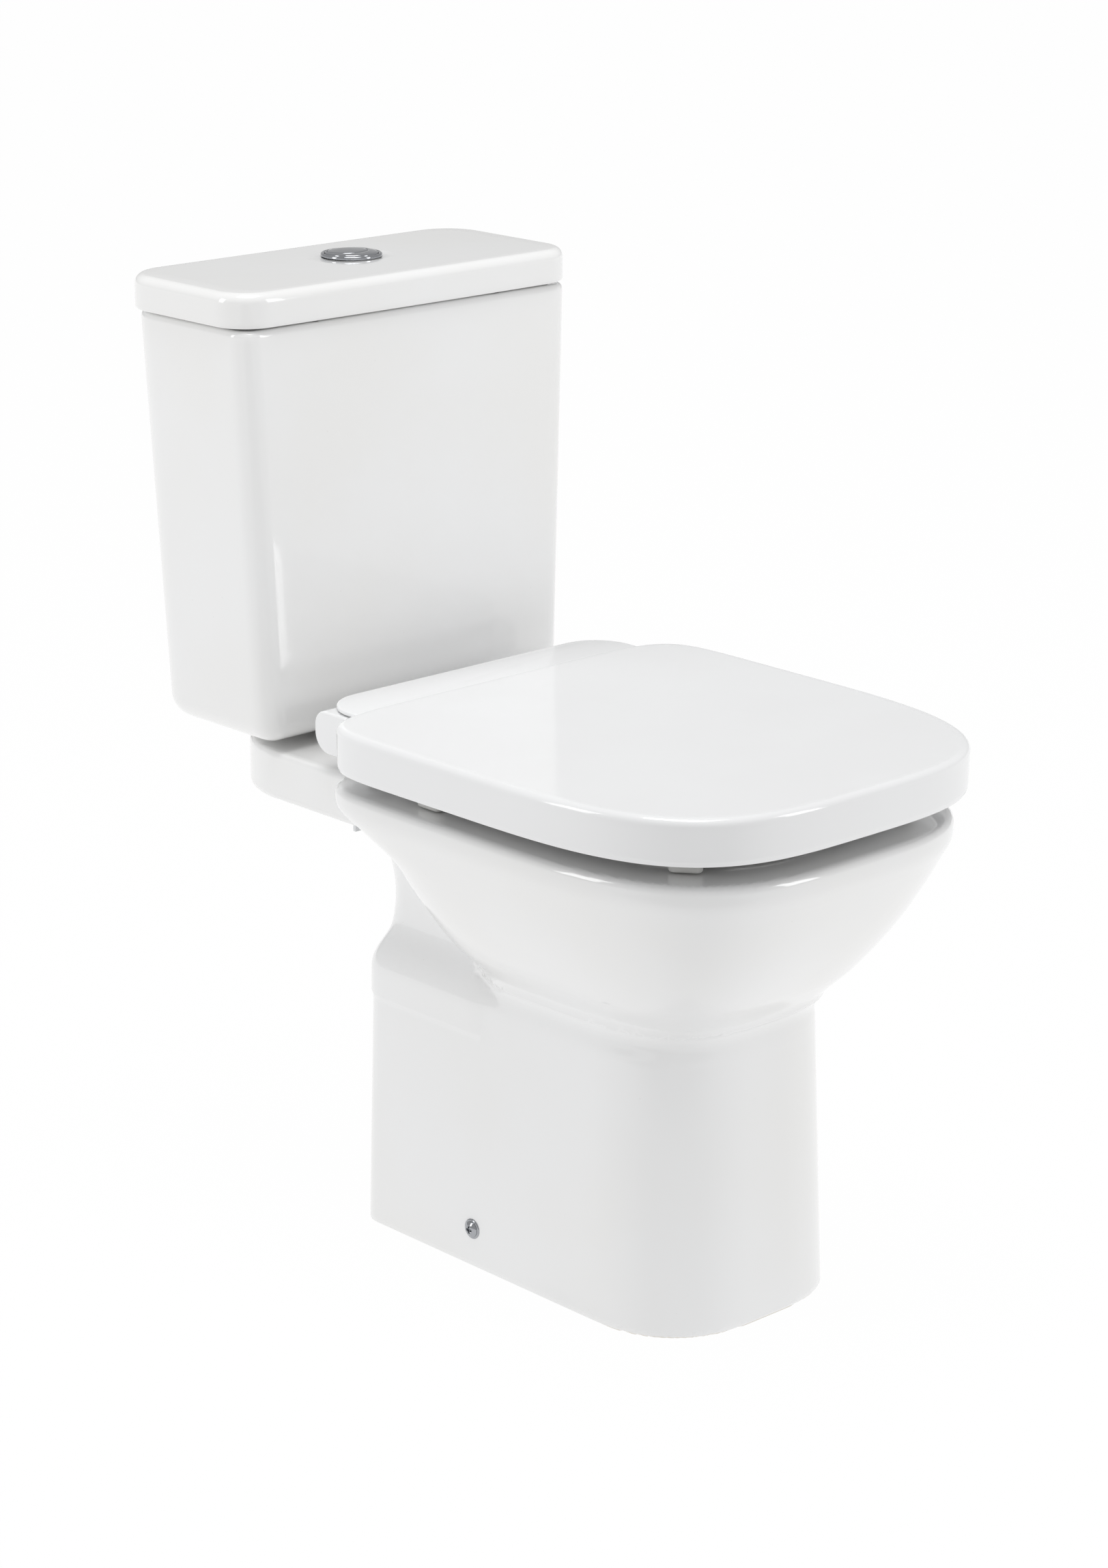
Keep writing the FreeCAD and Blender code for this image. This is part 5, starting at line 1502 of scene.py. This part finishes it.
class Button(Part):
    """The chromed housing in the lid and its two buttons."""

    def __init__(self, finishes: Finishes, sizes: ButtonSizes) -> None:
        """Keep the finishes and sizes."""
        super().__init__(finishes)
        self.s = sizes

    def circle(self, x: float, y: float, radius: float, z: float) -> np.ndarray:
        """One ring of points at a height."""
        return lathe([(radius, 0.0)], (x, y, z))[0]

    def dome(self, ring: np.ndarray, drop: float = 0.0) -> np.ndarray:
        """Lay a ring on the domed top that both buttons share."""
        s = self.s
        from_middle = np.hypot(ring[:, 0] - s.x, ring[:, 1] - s.y) / s.disc_radius
        ring[:, 2] = s.lid_top + s.rise - s.dome * from_middle**2 - drop
        return ring

    def bezel(self) -> bpy.types.Object:
        """The housing: a rolled rim on the lid and a sleeve through it."""
        s = self.s
        bore = s.sleeve_radius - s.bezel_wall
        rim = s.bezel_rise
        profile = [(bore, -s.bezel_length), (s.sleeve_radius, -s.bezel_length), (s.sleeve_radius, -0.05)]
        profile += [(s.bezel_radius - 0.5, 0.0), (s.bezel_radius, 0.5)]
        roll = 0.5 * (s.bezel_radius - bore)
        profile += [(s.bezel_radius - roll + out, rim - roll + up) for out, up in bend(roll, 8)[::-1]]
        profile += [(bore + roll - out, rim - roll + up) for out, up in bend(roll, 8)[1:]]
        rings = lathe(profile, (s.x, s.y, s.lid_top), 128)
        points, faces = loft(rings, False)
        last = (len(rings) - 1) * 128
        faces += [[last + i, last + (i + 1) % 128, (i + 1) % 128, i] for i in range(128)]
        return new_piece("flush_button_housing", points, faces)

    def full(self) -> bpy.types.Object:
        """The crescent button round the small one."""
        s = self.s
        hx, hy = s.x - s.half_offset, s.y + s.half_offset
        inner_radius = s.half_radius + s.gap
        low = s.lid_top + s.rise - s.depth
        rings = [self.circle(hx, hy, inner_radius, low), self.circle(s.x, s.y, s.disc_radius, low)]
        rings += [self.dome(self.circle(s.x, s.y, s.disc_radius, 0.0), 1.0)]
        rings += [self.dome(self.circle(s.x, s.y, s.disc_radius - 0.3, 0.0), 0.35)]
        brow = self.dome(self.circle(s.x, s.y, s.disc_radius - 0.9, 0.0))
        edge = self.dome(self.circle(hx, hy, inner_radius + 0.5, 0.0))
        rings += [self.dome(brow + share * (edge - brow)) for share in (0.0, 0.33, 0.67, 1.0)]
        rings += [self.dome(self.circle(hx, hy, inner_radius, 0.0), 0.5)]
        points, faces = loft(rings, False)
        last = (len(rings) - 1) * 96
        faces += [[last + i, last + (i + 1) % 96, (i + 1) % 96, i] for i in range(96)]
        return new_piece("full_flush_crescent", points, faces)

    def half(self) -> bpy.types.Object:
        """The small round button."""
        s = self.s
        hx, hy = s.x - s.half_offset, s.y + s.half_offset
        low = s.lid_top + s.rise - s.depth
        rings = [self.circle(hx, hy, s.half_radius * share, low) for share in (0.4, 1.0)]
        rings += [self.dome(self.circle(hx, hy, s.half_radius, 0.0), 0.7)]
        rings += [self.dome(self.circle(hx, hy, s.half_radius - 0.25, 0.0), 0.2)]
        shares = (0.96, 0.85, 0.7, 0.5, 0.3, 0.1)
        rings += [self.dome(self.circle(hx, hy, s.half_radius * share, 0.0)) for share in shares]
        return new_piece("half_flush_disc", *loft(rings))

    def build(self) -> None:
        """Make and dress the button."""
        self.dress(self.bezel(), Slot.CHROME, Body.CHINA, ["button_bezel"])
        self.dress(self.full(), Slot.CHROME, Body.FULL_BUTTON, ["full_flush_button"])
        self.dress(self.half(), Slot.CHROME, Body.HALF_BUTTON, ["half_flush_button"])


@dataclass(frozen=True)
class FixingSizes:
    """Sizes of the visible screws and the threads."""

    head_radius: float = 7.0
    head_height: float = 3.4
    cross_width: float = 1.5
    cross_reach: float = 4.2
    washer_radius: float = 8.5
    washer_height: float = 1.4
    thread_pitch: float = 1.5
    thread_depth: float = 0.35


class Fixings(Part):
    """The floor screws, the threads and the metal and plastic fittings."""

    def __init__(self, finishes: Finishes, sizes: FixingSizes, copier: CopiesTree, thread: ThreadTree) -> None:
        """Keep the finishes, sizes and trees."""
        super().__init__(finishes)
        self.s = sizes
        self.copier = copier
        self.thread = thread

    def head(self, x: np.ndarray, y: np.ndarray, z: np.ndarray) -> np.ndarray:
        """A domed head that faces -X with a cross recess, and its shank."""
        s = self.s
        across = np.hypot(y, z)
        ball = (s.head_radius**2 + s.head_height**2) / (2 * s.head_height) + 1.6
        dome = np.sqrt((x + s.head_height - ball) ** 2 + across**2) - ball
        cap = round_meet(round_meet(dome, across - s.head_radius, 0.7), x, 0.3)
        shank = np.maximum(across - 3.0, np.maximum(x - 18.0, -1.0 - x))
        arm = s.cross_width / 2 + 0.16 * (-x - 1.0)
        slot_a = np.maximum(np.abs(y) - arm, np.abs(z) - s.cross_reach * 0.6 - 0.35 * (-x - 1.0))
        slot_b = np.maximum(np.abs(z) - arm, np.abs(y) - s.cross_reach * 0.6 - 0.35 * (-x - 1.0))
        cross = np.maximum(np.minimum(slot_a, slot_b), x + 1.1)
        return np.minimum(round_meet(cap, -cross, 0.25), shank)

    def floor_screws(self) -> None:
        """Two cross-head screws near the floor, each on its washer."""
        s = self.s
        low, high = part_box("floor_screws")
        x, y = -high.x / MM, 0.5 * (low.y + high.y) / MM
        z = 0.5 * (low.z + high.z) / MM
        seat_x = x + s.head_height + 0.1
        reach = s.head_radius + 1.0
        casting = Casting(self.head, (-s.head_height - 1, -reach, -reach), (19.0, reach, reach), 0.42)
        pattern = casting.piece("screw_pattern")
        places = [(seat_x, y, z, 0.0), (-seat_x, y, z, 180.0)]
        screws = copies(self.copier, "floor_screw_heads", pattern, places, self.finishes[Slot.CHROME])
        self.dress(screws, Slot.CHROME, Body.CHINA, ["floor_screws"])
        outer = s.washer_radius
        profile = [(3.1, 0.0), (outer - 0.4, 0.0), (outer, 0.4), (outer - 0.1, 0.9), (outer - 0.8, s.washer_height)]
        profile += [(3.1, s.washer_height)]
        points, faces = loft(lathe(profile, (0, 0, 0)), False)
        last = (len(profile) - 1) * 96
        faces += [[last + i, last + (i + 1) % 96, (i + 1) % 96, i] for i in range(96)]
        turned = np.stack([-points[:, 2], points[:, 1], points[:, 0]], 1)
        washer = new_piece("washer_pattern", turned, faces)
        face_x = seat_x + s.washer_height
        places = [(face_x, y, z, 0.0), (-face_x, y, z, 180.0)]
        washers = copies(self.copier, "floor_screw_cups", washer, places, self.finishes[Slot.CHROME])
        self.dress(washers, Slot.CHROME, Body.CHINA, ["floor_screw_washers"])

    def threads(self) -> None:
        """Thread rings on the bolts and valve tails that show below the china."""
        s = self.s
        runs = [
            ("cistern_bolt_thread", "cistern_bolts", Slot.ZINC, 3.9, [(-72.0, 230.0), (72.0, 230.0)], 346.5, 3),
            ("hinge_bolt_thread", "hinge_bolts", Slot.STAINLESS, 3.8, [(-116.0, 102.0), (116.0, 102.0)], 346.5, 3),
            ("fill_tail_thread", "fill_valve_body", Slot.VALVE, 10.4, [(108.0, 288.0)], 361.5, 26),
        ]
        for name, anchor, slot, radius, spots, low, count in runs:
            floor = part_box(anchor)[0].z / MM
            seed = points_seed(name + "_points", [(x, y, max(low, floor + 1.0)) for x, y in spots], [0.0] * len(spots))
            sizes = {
                "Radius": radius * MM,
                "Depth": s.thread_depth * MM,
                "Pitch": s.thread_pitch * MM,
                "Count": count,
                "Material": self.finishes[slot],
            }
            piece = self.thread.grow(name, seed, sizes)
            bpy.data.objects.remove(seed)
            self.dress(piece, slot, Body.CHINA)

    def carried_over(self, frame: dict[str, object]) -> None:
        """Give the frame's own nodes their finishes."""
        for row in frame["record"]["subparts"]:
            node = frame["nodes"].get(row["node"])
            if node is None or node.hide_render:
                continue
            node.data.materials.clear()
            node.data.materials.append(self.finishes[Slot(row["material_slot"])])
            LOG.info("%s keeps its shape in %s", row["node"], row["material_slot"])

    def build(self, frame: dict[str, object]) -> None:
        """Make and dress the fixings."""
        self.floor_screws()
        self.threads()
        self.carried_over(frame)


@dataclass(frozen=True)
class Studio:
    """The pale floor, the soft lights and the camera."""

    camera_at: tuple[float, float, float] = (-2.0589, -2.1765, 1.3141)
    azimuth: float = -43.3
    elevation: float = 17.2
    roll: float = 0.3
    lens: float = 89.37

    def camera(self) -> None:
        """Set the camera."""
        data = bpy.data.cameras.new("studio_camera")
        data.lens = self.lens
        data.sensor_width = 36.0
        data.clip_end = 100.0
        camera = bpy.data.objects.new("studio_camera", data)
        a, e = math.radians(self.azimuth), math.radians(self.elevation)
        back = np.array([math.sin(a) * math.cos(e), -math.cos(a) * math.cos(e), math.sin(e)])
        right = np.cross(-back, (0.0, 0.0, 1.0))
        right /= np.linalg.norm(right)
        up = np.cross(right, -back)
        c, s = math.cos(math.radians(self.roll)), math.sin(math.radians(self.roll))
        right, up = c * right + s * up, c * up - s * right
        rows = [[right[i], up[i], back[i], self.camera_at[i]] for i in range(3)]
        camera.matrix_world = Matrix(rows + [[0.0, 0.0, 0.0, 1.0]])
        bpy.context.scene.collection.objects.link(camera)
        bpy.context.scene.camera = camera

    def floor(self) -> None:
        """Lay a wide pale floor whose glow is painted light, a little greyer in front of the toilet as painted shade
        for the china's camera-facing sides to reflect.
        """
        mesh = bpy.data.meshes.new("studio_floor")
        reach = 60.0
        corners = [(-reach, -reach, 0), (reach, -reach, 0), (reach, reach, 0), (-reach, reach, 0)]
        mesh.from_pydata(corners, [], [(0, 1, 2, 3)])
        floor = bpy.data.objects.new("studio_floor", mesh)
        bpy.context.scene.collection.objects.link(floor)
        mix = Recipe("studio_floor_paint")
        a = math.radians(self.azimuth)
        spot = mix.node("ShaderNodeSeparateXYZ", values={"Vector": mix.place()})
        x, y = mix.out(spot, "X"), mix.out(spot, "Y")
        ahead = x * math.sin(a) - y * math.cos(a)
        across = (x * math.cos(a) + y * math.sin(a)) ** 2.0
        # painted shade: the floor's glow is greyer in a patch in front of the toilet, so the china's sides that face
        # the camera reflect it darker
        dim_glow_patch = ahead.band(0.62, 1.0) * across.band(1.6, 0.35)
        mix.feed("Base Color", (0.02, 0.02, 0.02, 1.0))
        mix.feed("Roughness", 1.0)
        mix.feed("Specular IOR Level", 0.0)
        mix.feed("Emission Color", mix.blend(dim_glow_patch, (0.98, 0.98, 0.98), (0.62, 0.62, 0.62)))
        mix.feed("Emission Strength", 1.0)
        mesh.materials.append(mix.material)

    def softbox(self, name: str, at: Sequence[float], size: Sequence[float], power: float) -> None:
        """Hang a soft box that faces the object.

        Args:
            name: the light's name.
            at: its place in metres.
            size: width and height in metres.
            power: watts.
        """
        data = bpy.data.lights.new(name, "AREA")
        data.shape = "RECTANGLE"
        data.size, data.size_y = size
        data.energy = power
        light = bpy.data.objects.new(name, data)
        aim = np.array([0.0, 0.0, 0.4]) - np.array(at)
        light.location = at
        light.rotation_mode = "QUATERNION"
        light.rotation_quaternion = Vector(aim).to_track_quat("-Z", "Y")
        bpy.context.scene.collection.objects.link(light)

    def world(self) -> None:
        """Fill the room with even light."""
        world = bpy.data.worlds.new("studio_air")
        world.use_nodes = True
        world.node_tree.nodes["Background"].inputs["Color"].default_value = (1.0, 1.0, 1.0, 1.0)
        world.node_tree.nodes["Background"].inputs["Strength"].default_value = 0.55
        bpy.context.scene.world = world

    def build(self) -> None:
        """Set up the whole studio."""
        self.camera()
        self.floor()
        self.world()
        self.softbox("left_softbox", (-3.0, 1.3, 1.7), (0.9, 1.9), 24.0)
        self.softbox("front_softbox", (1.7, -3.0, 1.7), (0.9, 1.9), 26.0)
        self.softbox("top_softbox", (-0.2, -0.1, 3.0), (1.3, 1.3), 30.0)
        bpy.context.scene.view_settings.view_transform = "Standard"


def main() -> None:
    """Build the toilet's looks round its frame."""
    logging.basicConfig(level=logging.INFO, format="%(name)s: %(message)s")
    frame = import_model()
    finishes = Finishes()
    Studio().build()
    copier = CopiesTree()
    Pan(finishes, PanSizes()).build()
    Cistern(finishes, CisternSizes(), copier).build()
    Seat(finishes, SeatSizes(), copier).build()
    Button(finishes, ButtonSizes()).build()
    Fixings(finishes, FixingSizes(), copier, ThreadTree()).build(frame)


if __name__ == "__main__":
    main()
